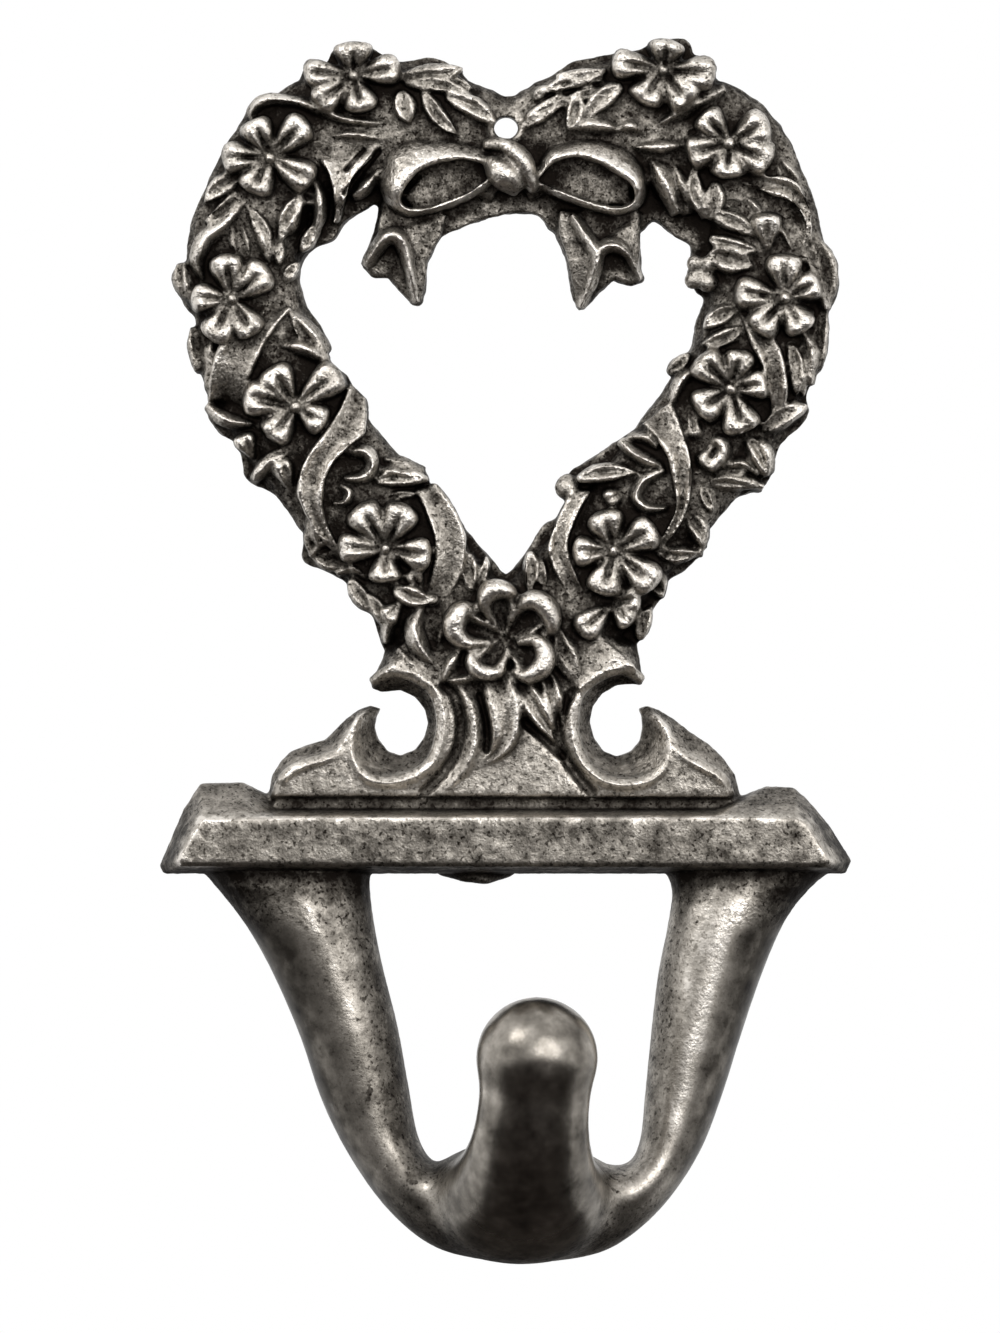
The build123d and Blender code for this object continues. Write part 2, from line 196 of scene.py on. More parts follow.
# the wreath's body: a thin plate with the true outline under a rounded roll
wreath = {
    "plateRise": 2.6,
    "outlineSteps": 3,
    "outerLeft": [
        (506, 95), (480, 89), (470, 80), (458, 68), (445, 60), (432, 56), (416, 57), (400, 60), (385, 55),
        (372, 47), (358, 43), (347, 41), (338, 44), (330, 51), (325, 60), (307, 65), (301, 72), (298, 80),
        (292, 88), (280, 94), (262, 97), (253, 101), (240, 122), (222, 155), (213, 177), (201, 215),
        (199, 235), (188, 255), (180, 268), (176, 283), (178, 290), (185, 307), (196, 322), (188, 348),
        (191, 360), (200, 370), (208, 400), (207, 412), (213, 425), (225, 437), (238, 443), (243, 470),
        (248, 480), (280, 498), (298, 508), (304, 520), (302, 555), (307, 563), (325, 570), (345, 582),
        (365, 592), (374, 620), (380, 640), (388, 652), (420, 655),
    ],
    "outerRight": [
        (600, 652), (634, 648), (645, 622), (663, 595), (668, 580), (685, 570), (700, 558), (706, 545),
        (708, 530), (718, 503), (740, 495), (760, 488), (770, 478), (780, 445), (802, 425), (809, 410),
        (808, 392), (823, 365), (830, 330), (829, 318), (836, 297), (836, 280), (822, 240), (812, 222),
        (809, 200), (805, 178), (785, 142), (768, 122), (755, 105), (735, 93), (718, 78), (705, 58),
        (693, 52), (685, 38), (660, 39), (640, 47), (625, 50), (605, 54), (575, 60), (560, 68), (540, 83),
        (520, 93),
    ],
    "inner": [
        (520, 211), (495, 214), (450, 230), (432, 238), (405, 225), (378, 203), (365, 208), (345, 220),
        (338, 232), (332, 239), (308, 250), (299, 275), (305, 305), (320, 325), (330, 360), (345, 373),
        (354, 390), (358, 415), (378, 430), (400, 455), (420, 465), (430, 480), (440, 508), (475, 540),
        (500, 570), (510, 571), (528, 552), (543, 525), (558, 518), (566, 508), (568, 476), (595, 457),
        (632, 430), (655, 418), (665, 390), (691, 360), (694, 340), (698, 318), (706, 298), (696, 290),
        (690, 272), (693, 250), (690, 241), (675, 235), (655, 219), (640, 230), (600, 236), (557, 232),
        (538, 214),
    ],
    "rollLeft": [
        (512, 160, 4.5, 48), (460, 135, 4.9, 56), (405, 125, 5.0, 62), (345, 128, 5.0, 64),
        (290, 155, 5.1, 58), (257, 200, 5.1, 54), (243, 250, 5.1, 57), (247, 305, 5.1, 55),
        (265, 365, 5.1, 58), (298, 425, 5.1, 60), (345, 488, 5.1, 60), (392, 545, 5.1, 58),
        (440, 605, 5.2, 60), (490, 670, 5.4, 66),
    ],
    "rollRight": [
        (508, 160, 4.5, 48), (560, 132, 4.9, 56), (615, 122, 5.0, 62), (675, 128, 5.0, 60),
        (725, 150, 5.1, 60), (760, 200, 5.1, 52), (768, 250, 5.1, 58), (766, 305, 5.1, 58),
        (750, 365, 5.1, 60), (715, 425, 5.1, 62), (665, 488, 5.1, 60), (615, 548, 5.1, 57),
        (570, 605, 5.2, 60), (522, 670, 5.4, 66),
    ],
    "rollSteps": 4,
    "rollFall": 2.1,
}

plate = bmesh.new()
for outline in (wreath["outerLeft"] + wreath["outerRight"], wreath["inner"]):
    closed = curve(outline + outline[:1], wreath["outlineSteps"])[:-1]
    verts = [plate.verts.new(p) for p in level(closed, 0)]
    for i in range(len(verts)):
        plate.edges.new((verts[i - 1], verts[i]))
bmesh.ops.triangle_fill(plate, edges=plate.edges, use_beauty=True)
raiseFront(plate, wreath["plateRise"])
pour(plate)
carve((wreath["rollLeft"], wreath["rollRight"]), wreath["rollSteps"], "round", wreath["rollFall"])
print("wreath body made")

# flowers: centre, rise, then each petal's tip and half width
flowers = {
    "blooms": [
        ((354, 75), 7.0, [(352, 42, 19), (303, 72, 14), (400, 68, 15), (316, 106, 15), (362, 112, 17)]),
        ((270, 157), 7.2, [(252, 119, 16), (306, 120, 17), (313, 182, 16), (251, 193, 18), (222, 158, 15)]),
        ((232, 299), 7.2, [(225, 254, 17), (268, 268, 18), (254, 336, 16), (212, 340, 17), (192, 298, 14)]),
        ((295, 407), 7.2, [(270, 367, 18), (340, 370, 17), (243, 396, 18), (270, 439, 17), (326, 424, 15)]),
        ((386, 549), 7.2, [(358, 505, 18), (405, 505, 18), (431, 556, 17), (386, 583, 16), (338, 548, 14)]),
        ((614, 551), 7.2, [(603, 511, 18), (656, 528, 18), (573, 552, 15), (602, 596, 19), (656, 586, 17)]),
        ((731, 389), 7.1, [(742, 350, 15), (699, 356, 18), (696, 412, 18), (745, 433, 19), (768, 384, 15)]),
        ((785, 298), 7.2, [(784, 254, 18), (735, 292, 16), (756, 332, 17), (805, 332, 16), (820, 282, 15)]),
        ((729, 143), 7.2, [(702, 112, 16), (768, 122, 17), (771, 163, 19), (728, 178, 18), (687, 155, 17)]),
        ((663, 70), 7.1, [(668, 40, 18), (612, 61, 15), (642, 104, 18), (690, 105, 18), (716, 74, 17)]),
    ],
    "part": [
        ((626, 490), 5.8, [(606, 502, 10)]), ((422, 594), 6.3, [(392, 590, 9), (410, 570, 10)]),
        ((612, 604), 6.6, [(578, 634, 15), (640, 598, 14), (632, 624, 12)]),
        ((404, 600), 6.2, [(384, 621, 11)]), ((768, 252), 6.8, [(767, 213, 15)]),
        ((292, 492), 6.0, [(280, 458, 11)]), ((254, 460), 6.0, [(242, 434, 11)]),
        ((722, 438), 6.2, [(703, 470, 14)]), ((690, 404), 5.8, [(696, 440, 10)]),
    ],
    "low": [
        ((505, 638), 6.9, [(498, 592, 15), (454, 626, 17), (486, 672, 18), (542, 666, 20), (543, 606, 18)]),
    ],
    # along a petal from its root: place, share of the half width, lift, depth of the groove
    "length": [0.05, 0.16, 0.3, 0.46, 0.62, 0.76, 0.88, 0.95, 1.0],
    "spread": [0.24, 0.4, 0.6, 0.8, 0.97, 1.06, 1.0, 0.78, 0.36],
    "lift": [-1.3, -1.0, -0.6, -0.25, 0.0, 0.1, 0.0, -0.35, -1.0],
    "groove": [0.7, 0.95, 1.1, 1.05, 0.75, 0.3, 0.05, 0.0, 0.0],
    "dishGroove": [0.3, 0.6, 0.9, 1.1, 1.25, 1.2, 0.75, 0.1, 0.0],
    "fall": 1.5,
    "beadRadius": 5.4,
    "beadSink": 0.9,
    # thick rims of the low flower's petals: x, y, rise, half width
    "curls": [
        [(492, 622, 6.4, 4), (485, 606, 7.5, 8), (488, 594, 8.0, 10), (499, 589, 8.0, 10),
         (511, 593, 7.6, 8), (513, 601, 6.6, 4)],
        [(517, 613, 6.6, 5), (526, 602, 7.8, 9), (540, 601, 8.1, 11), (550, 613, 8.1, 11),
         (551, 627, 7.6, 9), (543, 634, 6.6, 5)],
        [(480, 611, 6.6, 5), (464, 610, 7.8, 10), (455, 621, 8.1, 12), (456, 634, 7.9, 11),
         (468, 643, 7.5, 8), (490, 642, 6.5, 4)],
        [(476, 647, 6.6, 5), (472, 661, 7.6, 8), (481, 672, 7.9, 9), (497, 672, 7.6, 8),
         (506, 657, 6.6, 4)],
        [(517, 643, 6.6, 5), (535, 640, 7.6, 8), (545, 652, 8.0, 10), (542, 667, 8.1, 11),
         (527, 676, 7.8, 9), (511, 671, 6.6, 5)],
    ],
    "curlSteps": 4,
    "curlFall": 1.6,
}


def petals(centre, rise, tips, kind, hollow):
    for tipX, tipY, half in tips:
        points = []
        for along, spread, lift in zip(flowers["length"], flowers["spread"], flowers["lift"]):
            px = centre[0] + (tipX - centre[0]) * along
            py = centre[1] + (tipY - centre[1]) * along
            points.append((px, py, rise + lift, half * spread))
        blade(points, kind, flowers["fall"], flowers[hollow])


for centre, rise, tips in flowers["blooms"]:
    petals(centre, rise, tips, "petal", "groove")
    knob(centre[0], centre[1], rise - flowers["beadSink"], flowers["beadRadius"])
for centre, rise, tips in flowers["part"]:
    petals(centre, rise, tips, "petal", "groove")
for centre, rise, tips in flowers["low"]:
    petals(centre, rise, tips, "dish", "dishGroove")
carve(flowers["curls"], flowers["curlSteps"], "round", flowers["curlFall"])
print("flowers made")

# leaves: root, tip, half width, rise
leaves = {
    "blades": [
        (400, 77, 462, 68, 10, 5.7), (405, 84, 468, 93, 7, 5.8), (424, 92, 459, 136, 8, 6.0),
        (446, 96, 497, 125, 9, 6.0), (402, 90, 411, 123, 11, 6.0), (606, 70, 556, 76, 6, 5.7),
        (604, 79, 538, 94, 6, 5.6), (563, 94, 524, 117, 6, 5.8), (566, 102, 521, 130, 7, 5.8),
        (577, 94, 567, 132, 9, 6.0), (621, 86, 586, 118, 10, 6.0), (596, 88, 560, 100, 5, 5.6),
        (242, 174, 203, 204, 9, 5.7), (242, 190, 203, 222, 7, 5.6), (302, 196, 280, 242, 9, 5.9),
        (250, 208, 269, 262, 8, 5.9), (238, 222, 248, 262, 10, 5.6), (274, 236, 279, 266, 6, 5.4),
        (180, 262, 194, 302, 10, 4.6), (193, 326, 196, 372, 9, 4.8), (230, 346, 212, 390, 7, 5.6),
        (206, 340, 211, 382, 5, 5.2), (292, 314, 330, 362, 7, 5.4), (278, 345, 328, 357, 6, 5.5),
        (294, 448, 252, 478, 7, 5.5), (376, 481, 428, 480, 8, 5.9), (382, 468, 424, 470, 5, 5.4),
        (380, 502, 418, 494, 4, 5.2), (318, 520, 312, 556, 8, 4.8), (345, 560, 312, 556, 9, 4.6),
        (471, 552, 473, 592, 8, 5.6), (486, 556, 476, 592, 4, 5.3), (394, 588, 434, 601, 9, 6.6),
        (398, 648, 432, 682, 8, 5.2), (557, 628, 582, 678, 9, 6.3), (554, 652, 576, 684, 9, 6.1),
        (600, 642, 586, 676, 5, 5.6), (530, 552, 528, 592, 8, 5.6), (541, 558, 546, 590, 6, 5.5),
        (578, 479, 638, 473, 8, 5.9), (598, 470, 624, 464, 4, 5.2), (746, 436, 768, 476, 9, 5.7),
        (718, 470, 755, 465, 5, 5.5), (700, 482, 762, 486, 9, 5.2), (703, 484, 714, 512, 6, 5.2),
        (762, 432, 808, 406, 10, 5.6), (768, 420, 796, 400, 5, 5.3), (688, 512, 704, 552, 9, 5.2),
        (655, 551, 700, 552, 8, 5.3), (790, 342, 796, 394, 8, 5.6), (806, 340, 804, 396, 6, 5.2),
        (742, 328, 702, 344, 8, 5.7), (738, 308, 704, 328, 9, 5.5), (712, 214, 756, 236, 8, 5.9),
        (710, 238, 758, 250, 8, 5.9), (708, 256, 754, 268, 13, 5.9), (694, 170, 704, 216, 8, 5.8),
        (714, 182, 710, 220, 9, 5.8), (778, 160, 805, 190, 8, 5.2), (814, 236, 832, 300, 9, 4.6),
        (826, 306, 822, 370, 8, 4.4), (700, 350, 706, 372, 6, 5.0), (640, 120, 614, 104, 7, 5.0),
        (318, 200, 292, 190, 7, 5.2), (745, 210, 722, 200, 8, 5.2), (470, 118, 452, 108, 5, 5.0),
        (350, 578, 376, 612, 8, 5.2), (366, 594, 390, 634, 7, 5.4), (654, 566, 664, 598, 9, 5.2),
        (640, 640, 652, 606, 7, 5.2), (440, 74, 474, 88, 6, 5.2), (534, 100, 552, 86, 5, 5.2),
        (300, 252, 314, 222, 6, 5.0), (284, 282, 300, 262, 6, 5.0), (222, 352, 206, 392, 5, 5.4),
        (318, 366, 336, 372, 6, 5.2), (668, 372, 690, 352, 6, 5.0), (792, 318, 816, 312, 5, 5.2),
        (700, 128, 684, 142, 6, 5.4), (786, 184, 806, 206, 6, 5.2), (470, 604, 456, 598, 6, 5.2),
        (560, 604, 574, 590, 6, 5.4),
    ],
    # along a leaf from its root: place, share of the half width, lift, depth of the groove
    "length": [0.0, 0.12, 0.3, 0.5, 0.7, 0.86, 0.95, 1.0],
    "spread": [0.3, 0.62, 0.94, 1.0, 0.8, 0.48, 0.22, 0.06],
    "lift": [-0.5, -0.15, 0.0, 0.05, 0.0, -0.15, -0.35, -0.7],
    "groove": [0.2, 0.45, 0.65, 0.7, 0.6, 0.35, 0.1, 0.0],
    "fall": 1.2,
    "bend": 0.07,
    "wide": 1.25,
}
for number, (rootX, rootY, tipX, tipY, half, rise) in enumerate(leaves["blades"]):
    points = []
    sway = leaves["bend"] * (1 if number % 2 else -1)
    for along, spread, lift in zip(leaves["length"], leaves["spread"], leaves["lift"]):
        arch = sway * math.sin(math.pi * along)
        px = rootX + (tipX - rootX) * along + (tipY - rootY) * arch
        py = rootY + (tipY - rootY) * along - (tipX - rootX) * arch
        points.append((px, py, rise + lift, half * spread * leaves["wide"]))
    blade(points, "leaf", leaves["fall"], leaves["groove"])
print("leaves made")

# ribbon wound round the wreath
ribbons = {
    # sheets with a raised rim at both edges: one edge, the other edge, rise
    "sheets": [
        [(268, 306, 292, 308, 5.2), (232, 336, 276, 328, 6.2), (215, 352, 264, 350, 6.4),
         (209, 376, 252, 376, 6.1), (207, 400, 240, 402, 4.8)],
        [(350, 382, 366, 400, 5.0), (337, 410, 366, 432, 6.0), (318, 440, 350, 447, 7.0),
         (303, 462, 332, 467, 7.2), (297, 486, 323, 491, 7.0), (303, 510, 324, 515, 6.6),
         (318, 534, 334, 540, 5.8), (338, 556, 342, 556, 5.0)],
        [(640, 424, 672, 402, 5.2), (655, 438, 682, 426, 6.2), (668, 456, 690, 452, 7.0),
         (673, 482, 692, 482, 7.1), (676, 506, 686, 512, 6.6), (666, 530, 674, 533, 6.0),
         (656, 550, 660, 551, 5.0)],
        [(738, 308, 752, 318, 5.2), (750, 340, 778, 344, 6.4), (763, 370, 786, 372, 6.6),
         (770, 400, 786, 402, 6.0), (768, 424, 778, 428, 4.4)],
        [(738, 181, 742, 172, 5.4), (760, 191, 768, 175, 6.2), (785, 199, 793, 180, 6.2),
         (800, 212, 806, 197, 6.0), (806, 228, 812, 216, 5.6), (801, 250, 812, 242, 5.0)],
        [(416, 490, 436, 484, 5.0), (426, 516, 457, 512, 5.8), (434, 546, 467, 545, 5.9),
         (431, 575, 460, 580, 5.8), (424, 598, 440, 605, 5.2)],
        [(572, 490, 590, 492, 5.0), (556, 520, 578, 515, 5.8), (548, 548, 568, 545, 5.9),
         (556, 575, 576, 572, 5.9), (572, 602, 588, 598, 5.2)],
        [(313, 152, 381, 146, 5.0), (322, 166, 371, 160, 6.0), (330, 182, 355, 176, 6.4),
         (334, 198, 347, 194, 6.2), (333, 224, 340, 222, 5.0)],
    ],
    # share of the way across, share of the rise
    "section": [
        (0, 0.6), (0.03, 0.94), (0.09, 1.0), (0.2, 0.94), (0.5, 0.88), (0.8, 0.94), (0.91, 1.0),
        (0.97, 0.94), (1, 0.6),
    ],
    # thin folds: x, y, rise, half width
    "folds": [
        [(326, 139, 4.8, 5), (352, 134, 5.8, 8), (384, 140, 5.0, 5)],
        [(706, 446, 5.2, 5), (718, 440, 6.2, 8), (724, 452, 6.4, 8), (714, 466, 6.2, 8),
         (700, 466, 5.4, 5)],
        [(214, 330, 4.8, 5), (210, 352, 5.6, 7), (206, 376, 5.0, 5)],
        [(336, 574, 4.6, 5), (352, 568, 5.4, 7), (366, 578, 4.8, 5)],
        [(800, 330, 5.0, 5), (812, 350, 5.8, 7), (810, 384, 5.0, 5)],
        [(744, 196, 5.0, 5), (756, 206, 5.8, 7), (762, 222, 5.0, 5)],
        [(250, 118, 4.8, 5), (255, 106, 5.7, 6), (270, 99, 6.1, 6), (300, 102, 6.3, 6), (322, 111, 6.3, 6),
         (350, 120, 6.2, 6), (384, 124, 5.2, 5)],
        [(560, 134, 4.8, 6), (584, 125, 6.0, 11), (606, 126, 6.1, 10), (622, 132, 5.2, 7)],
        [(612, 133, 4.8, 6), (628, 126, 5.9, 10), (643, 131, 5.0, 6)],
        [(649, 157, 4.6, 7), (659, 172, 6.0, 12), (668, 190, 6.1, 11), (678, 213, 5.0, 7)],
        [(672, 160, 4.6, 5), (682, 184, 5.8, 8), (688, 214, 4.8, 6)],
        [(306, 168, 5.0, 5), (318, 190, 5.8, 7), (320, 214, 5.6, 7), (312, 238, 4.6, 5)],
        [(352, 196, 5.0, 5), (366, 186, 5.7, 7), (380, 168, 5.0, 5)],
        [(463, 646, 5.8, 5), (452, 662, 6.8, 9), (442, 684, 6.2, 7)],
        [(442, 682, 5.8, 5), (466, 679, 6.7, 7), (494, 676, 6.0, 5)],
        [(394, 610, 5.0, 5), (388, 626, 5.8, 7), (386, 644, 4.8, 5)],
        [(436, 612, 5.0, 5), (440, 634, 5.8, 7), (436, 654, 5.0, 5)],
        [(246, 200, 5.4, 6), (226, 222, 6.2, 9), (204, 240, 6.4, 9), (197, 260, 6.0, 8),
         (203, 280, 5.0, 6)],
        [(254, 213, 5.2, 5), (262, 238, 6.2, 8), (268, 263, 5.4, 5)],
        [(298, 200, 5.2, 5), (292, 222, 6.2, 8), (280, 237, 5.2, 5)],
        [(276, 238, 5.0, 4), (279, 264, 5.6, 6)],
        [(282, 346, 5.4, 6), (302, 347, 6.3, 9), (327, 361, 5.2, 6)],
        [(290, 312, 4.8, 5), (310, 330, 5.6, 8), (327, 352, 5.0, 6)],
        [(207, 404, 4.8, 5), (226, 420, 6.0, 8), (255, 424, 5.2, 5)],
        [(253, 481, 5.0, 5), (270, 461, 6.0, 8), (293, 450, 5.2, 5)],
        [(306, 516, 4.8, 5), (314, 532, 5.8, 7), (318, 544, 5.2, 5)],
        [(310, 557, 4.6, 4), (326, 540, 5.4, 6), (336, 548, 5.0, 5)],
        [(376, 470, 5.2, 5), (398, 472, 6.2, 8), (424, 481, 5.2, 5)],
        [(384, 459, 4.8, 5), (404, 463, 5.4, 6), (424, 470, 4.8, 4)],
        [(346, 452, 5.8, 5), (364, 451, 6.5, 7), (373, 463, 6.7, 7), (364, 477, 6.6, 7),
         (343, 478, 6.0, 5)],
        [(340, 485, 5.6, 4), (350, 492, 6.2, 6), (344, 503, 6.2, 6), (332, 503, 5.6, 4)],
        [(423, 606, 5.8, 6), (414, 626, 6.8, 10), (420, 648, 6.8, 10), (438, 669, 5.6, 6)],
        [(652, 128, 5.0, 6), (680, 112, 6.2, 9), (701, 101, 6.3, 9), (726, 88, 5.2, 7)],
        [(635, 147, 5.4, 5), (658, 147, 6.2, 7), (684, 145, 5.4, 5)],
        [(694, 178, 5.2, 5), (700, 198, 6.0, 7), (706, 218, 5.4, 5)],
        [(700, 366, 5.0, 5), (682, 380, 5.8, 7), (673, 402, 5.4, 6)],
        [(620, 440, 5.2, 5), (632, 452, 6.2, 7), (648, 461, 6.3, 7), (662, 466, 5.6, 5)],
        [(628, 438, 5.0, 5), (646, 437, 5.8, 7), (658, 448, 5.6, 6)],
        [(664, 470, 5.8, 5), (644, 480, 6.4, 7), (636, 496, 6.5, 7), (646, 508, 6.5, 7),
         (668, 508, 5.8, 5)],
        [(724, 466, 5.4, 5), (742, 463, 6.0, 7), (758, 474, 5.2, 5)],
        [(704, 482, 5.0, 5), (730, 478, 5.8, 8), (764, 487, 4.8, 5)],
        [(748, 438, 5.4, 5), (754, 456, 6.2, 7), (766, 476, 5.2, 5)],
        [(760, 436, 5.0, 4), (768, 450, 5.8, 6), (770, 472, 5.0, 4)],
        [(662, 552, 5.0, 5), (682, 551, 5.8, 7), (704, 553, 4.8, 5)],
        [(690, 524, 5.0, 5), (698, 538, 5.8, 7), (705, 550, 4.8, 5)],
        [(802, 252, 5.0, 6), (818, 280, 5.6, 9), (826, 310, 5.0, 6)],
        [(184, 262, 4.6, 5), (186, 284, 5.2, 7), (194, 306, 4.6, 5)],
        [(764, 214, 5.2, 5), (780, 228, 6.0, 7), (792, 250, 5.2, 5)],
        [(556, 630, 5.6, 5), (572, 650, 6.4, 8), (584, 682, 5.4, 5)],
        [(556, 652, 5.6, 5), (566, 668, 6.3, 7), (580, 684, 5.4, 4)],
        [(602, 642, 5.2, 4), (592, 660, 5.9, 6), (586, 676, 5.4, 4)],
        [(602, 672, 5.2, 5), (616, 660, 6.0, 8), (634, 666, 5.0, 6)],
        [(398, 648, 5.2, 5), (412, 664, 6.0, 8), (432, 684, 5.6, 6)],
    ],
    "fall": 1.3,
    "steps": 5,
}
bars(ribbons["sheets"], ribbons["steps"], ribbons["section"])
carve(ribbons["folds"], ribbons["steps"], "pleat", ribbons["fall"])
print("ribbon made")

# the bow: loops that rise to a rim round a dark pocket, a wrapped knot and two swallow tails
bow = {
    "steps": 5,
    "loops": [
        [(488, 146, 486, 164, 6.4), (455, 138, 455, 160, 6.9), (418, 138, 428, 167, 7.2),
         (390, 149, 410, 180, 7.4), (378, 176, 401, 196, 7.2), (386, 203, 402, 204, 6.7),
         (404, 215, 411, 209, 6.5), (433, 213, 432, 207, 6.5), (466, 201, 463, 195, 6.4),
         (490, 187, 487, 180, 6.3)],
        [(534, 168, 541, 178, 6.4), (548, 146, 554, 163, 6.8), (575, 139, 574, 157, 7.0),
         (603, 140, 597, 163, 7.2), (627, 149, 615, 173, 7.4), (643, 167, 631, 183, 7.3),
         (648, 190, 635, 194, 6.9), (638, 208, 631, 204, 6.6), (612, 214, 612, 208, 6.5),
         (576, 204, 578, 198, 6.4), (537, 189, 540, 182, 6.3)],
    ],
    "section": [
        (0, 0.6), (0.1, 0.72), (0.35, 0.86), (0.68, 0.97), (0.86, 1.0), (0.97, 0.96), (1, 0.8),
    ],
    "knot": [
        [(484, 145, 6.4, 5), (504, 146, 7.8, 9), (520, 157, 8.2, 10), (530, 175, 7.6, 9),
         (534, 192, 6.4, 5)],
        [(487, 158, 6.6, 7), (498, 167, 8.0, 15), (510, 178, 8.0, 15), (520, 190, 6.8, 8)],
    ],
    "knotFall": 1.8,
    "pockets": [
        [(480, 162), (430, 166), (404, 196), (415, 208), (450, 202), (486, 184)],
        [(540, 164), (580, 156), (628, 180), (632, 204), (590, 204), (538, 184)],
    ],
    "pocketRise": 4.4,
    "tails": [
        [(380, 200), (373, 230), (362, 266), (372, 277), (388, 276), (400, 290), (413, 304), (419, 304),
         (424, 290), (428, 262), (440, 238), (450, 215), (415, 198)],
        [(556, 215), (556, 232), (567, 262), (573, 298), (579, 309), (588, 305), (600, 291), (614, 279),
         (632, 285), (643, 281), (642, 262), (638, 236), (644, 212), (600, 200)],
    ],
    "tailRise": 3.2,
    "tailBevel": 0.6,
    "flaps": [
        [(382, 203, 3.8), (377, 236, 4.5), (396, 232, 4.8), (408, 244, 4.6), (414, 268, 4.3),
         (420, 296, 3.6), (425, 280, 3.6), (429, 260, 4.0), (440, 236, 4.0), (446, 214, 3.8)],
        [(560, 210, 3.8), (560, 234, 4.0), (568, 262, 4.0), (575, 290, 3.6), (580, 300, 3.6),
         (590, 276, 4.3), (597, 254, 4.8), (610, 244, 4.8), (630, 250, 4.6), (640, 262, 4.0),
         (640, 240, 4.2), (640, 212, 3.8)],
    ],
    "ridges": [
        [(366, 266, 4.2, 6), (374, 252, 5.2, 7), (384, 239, 5.8, 8), (396, 235, 6.0, 8), (405, 248, 5.8, 8),
         (411, 276, 5.2, 7), (417, 302, 4.2, 5)],
        [(572, 214, 5.2, 6), (588, 240, 5.8, 8), (597, 256, 5.9, 8), (590, 284, 5.2, 7),
         (580, 307, 4.2, 5)],
        [(596, 254, 5.6, 7), (611, 245, 6.0, 8), (628, 254, 5.6, 7), (641, 280, 4.2, 5)],
    ],
    "ridgeFall": 1.4,
    "holeRim": (506, 127, 15.5, 5.5, 4.5),  # x, y, radius, rise, half width
    "rimTurn": (-20, 216, 15),  # degrees, open at the top left as cast
    "rimFall": 0.7,
}
bars(bow["loops"], bow["steps"], bow["section"])
carve(bow["knot"], bow["steps"], "round", bow["knotFall"])
for outline in bow["pockets"]:
    slab(outline, bow["pocketRise"])
for outline in bow["tails"]:
    slab(outline, bow["tailRise"], bow["tailBevel"])
for corners in bow["flaps"]:
    flap(corners)
carve(bow["ridges"], bow["steps"], "pleat", bow["ridgeFall"])
rimX, rimY, rimRadius, rimRise, rimHalf = bow["holeRim"]
points = []
for angle in range(*bow["rimTurn"]):
    t = math.radians(angle)
    points.append((rimX + rimRadius * math.cos(t), rimY + rimRadius * math.sin(t), rimRise, rimHalf))
blade(points, "pleat", bow["rimFall"])
print("bow made")

# berries at the wreath's inner edge: x, y, rise, radius, depth for width
berries = {
    "beads": [(702, 272, 3.4, 15), (695, 263, 4.2, 9), (709, 264, 4.4, 10), (694, 280, 4.0, 9),
              (708, 282, 4.3, 10), (567, 487, 3.4, 13, 1.1), (432, 600, 5.4, 7)],
}
for bead in berries["beads"]:
    knob(*bead)
print("berries made")

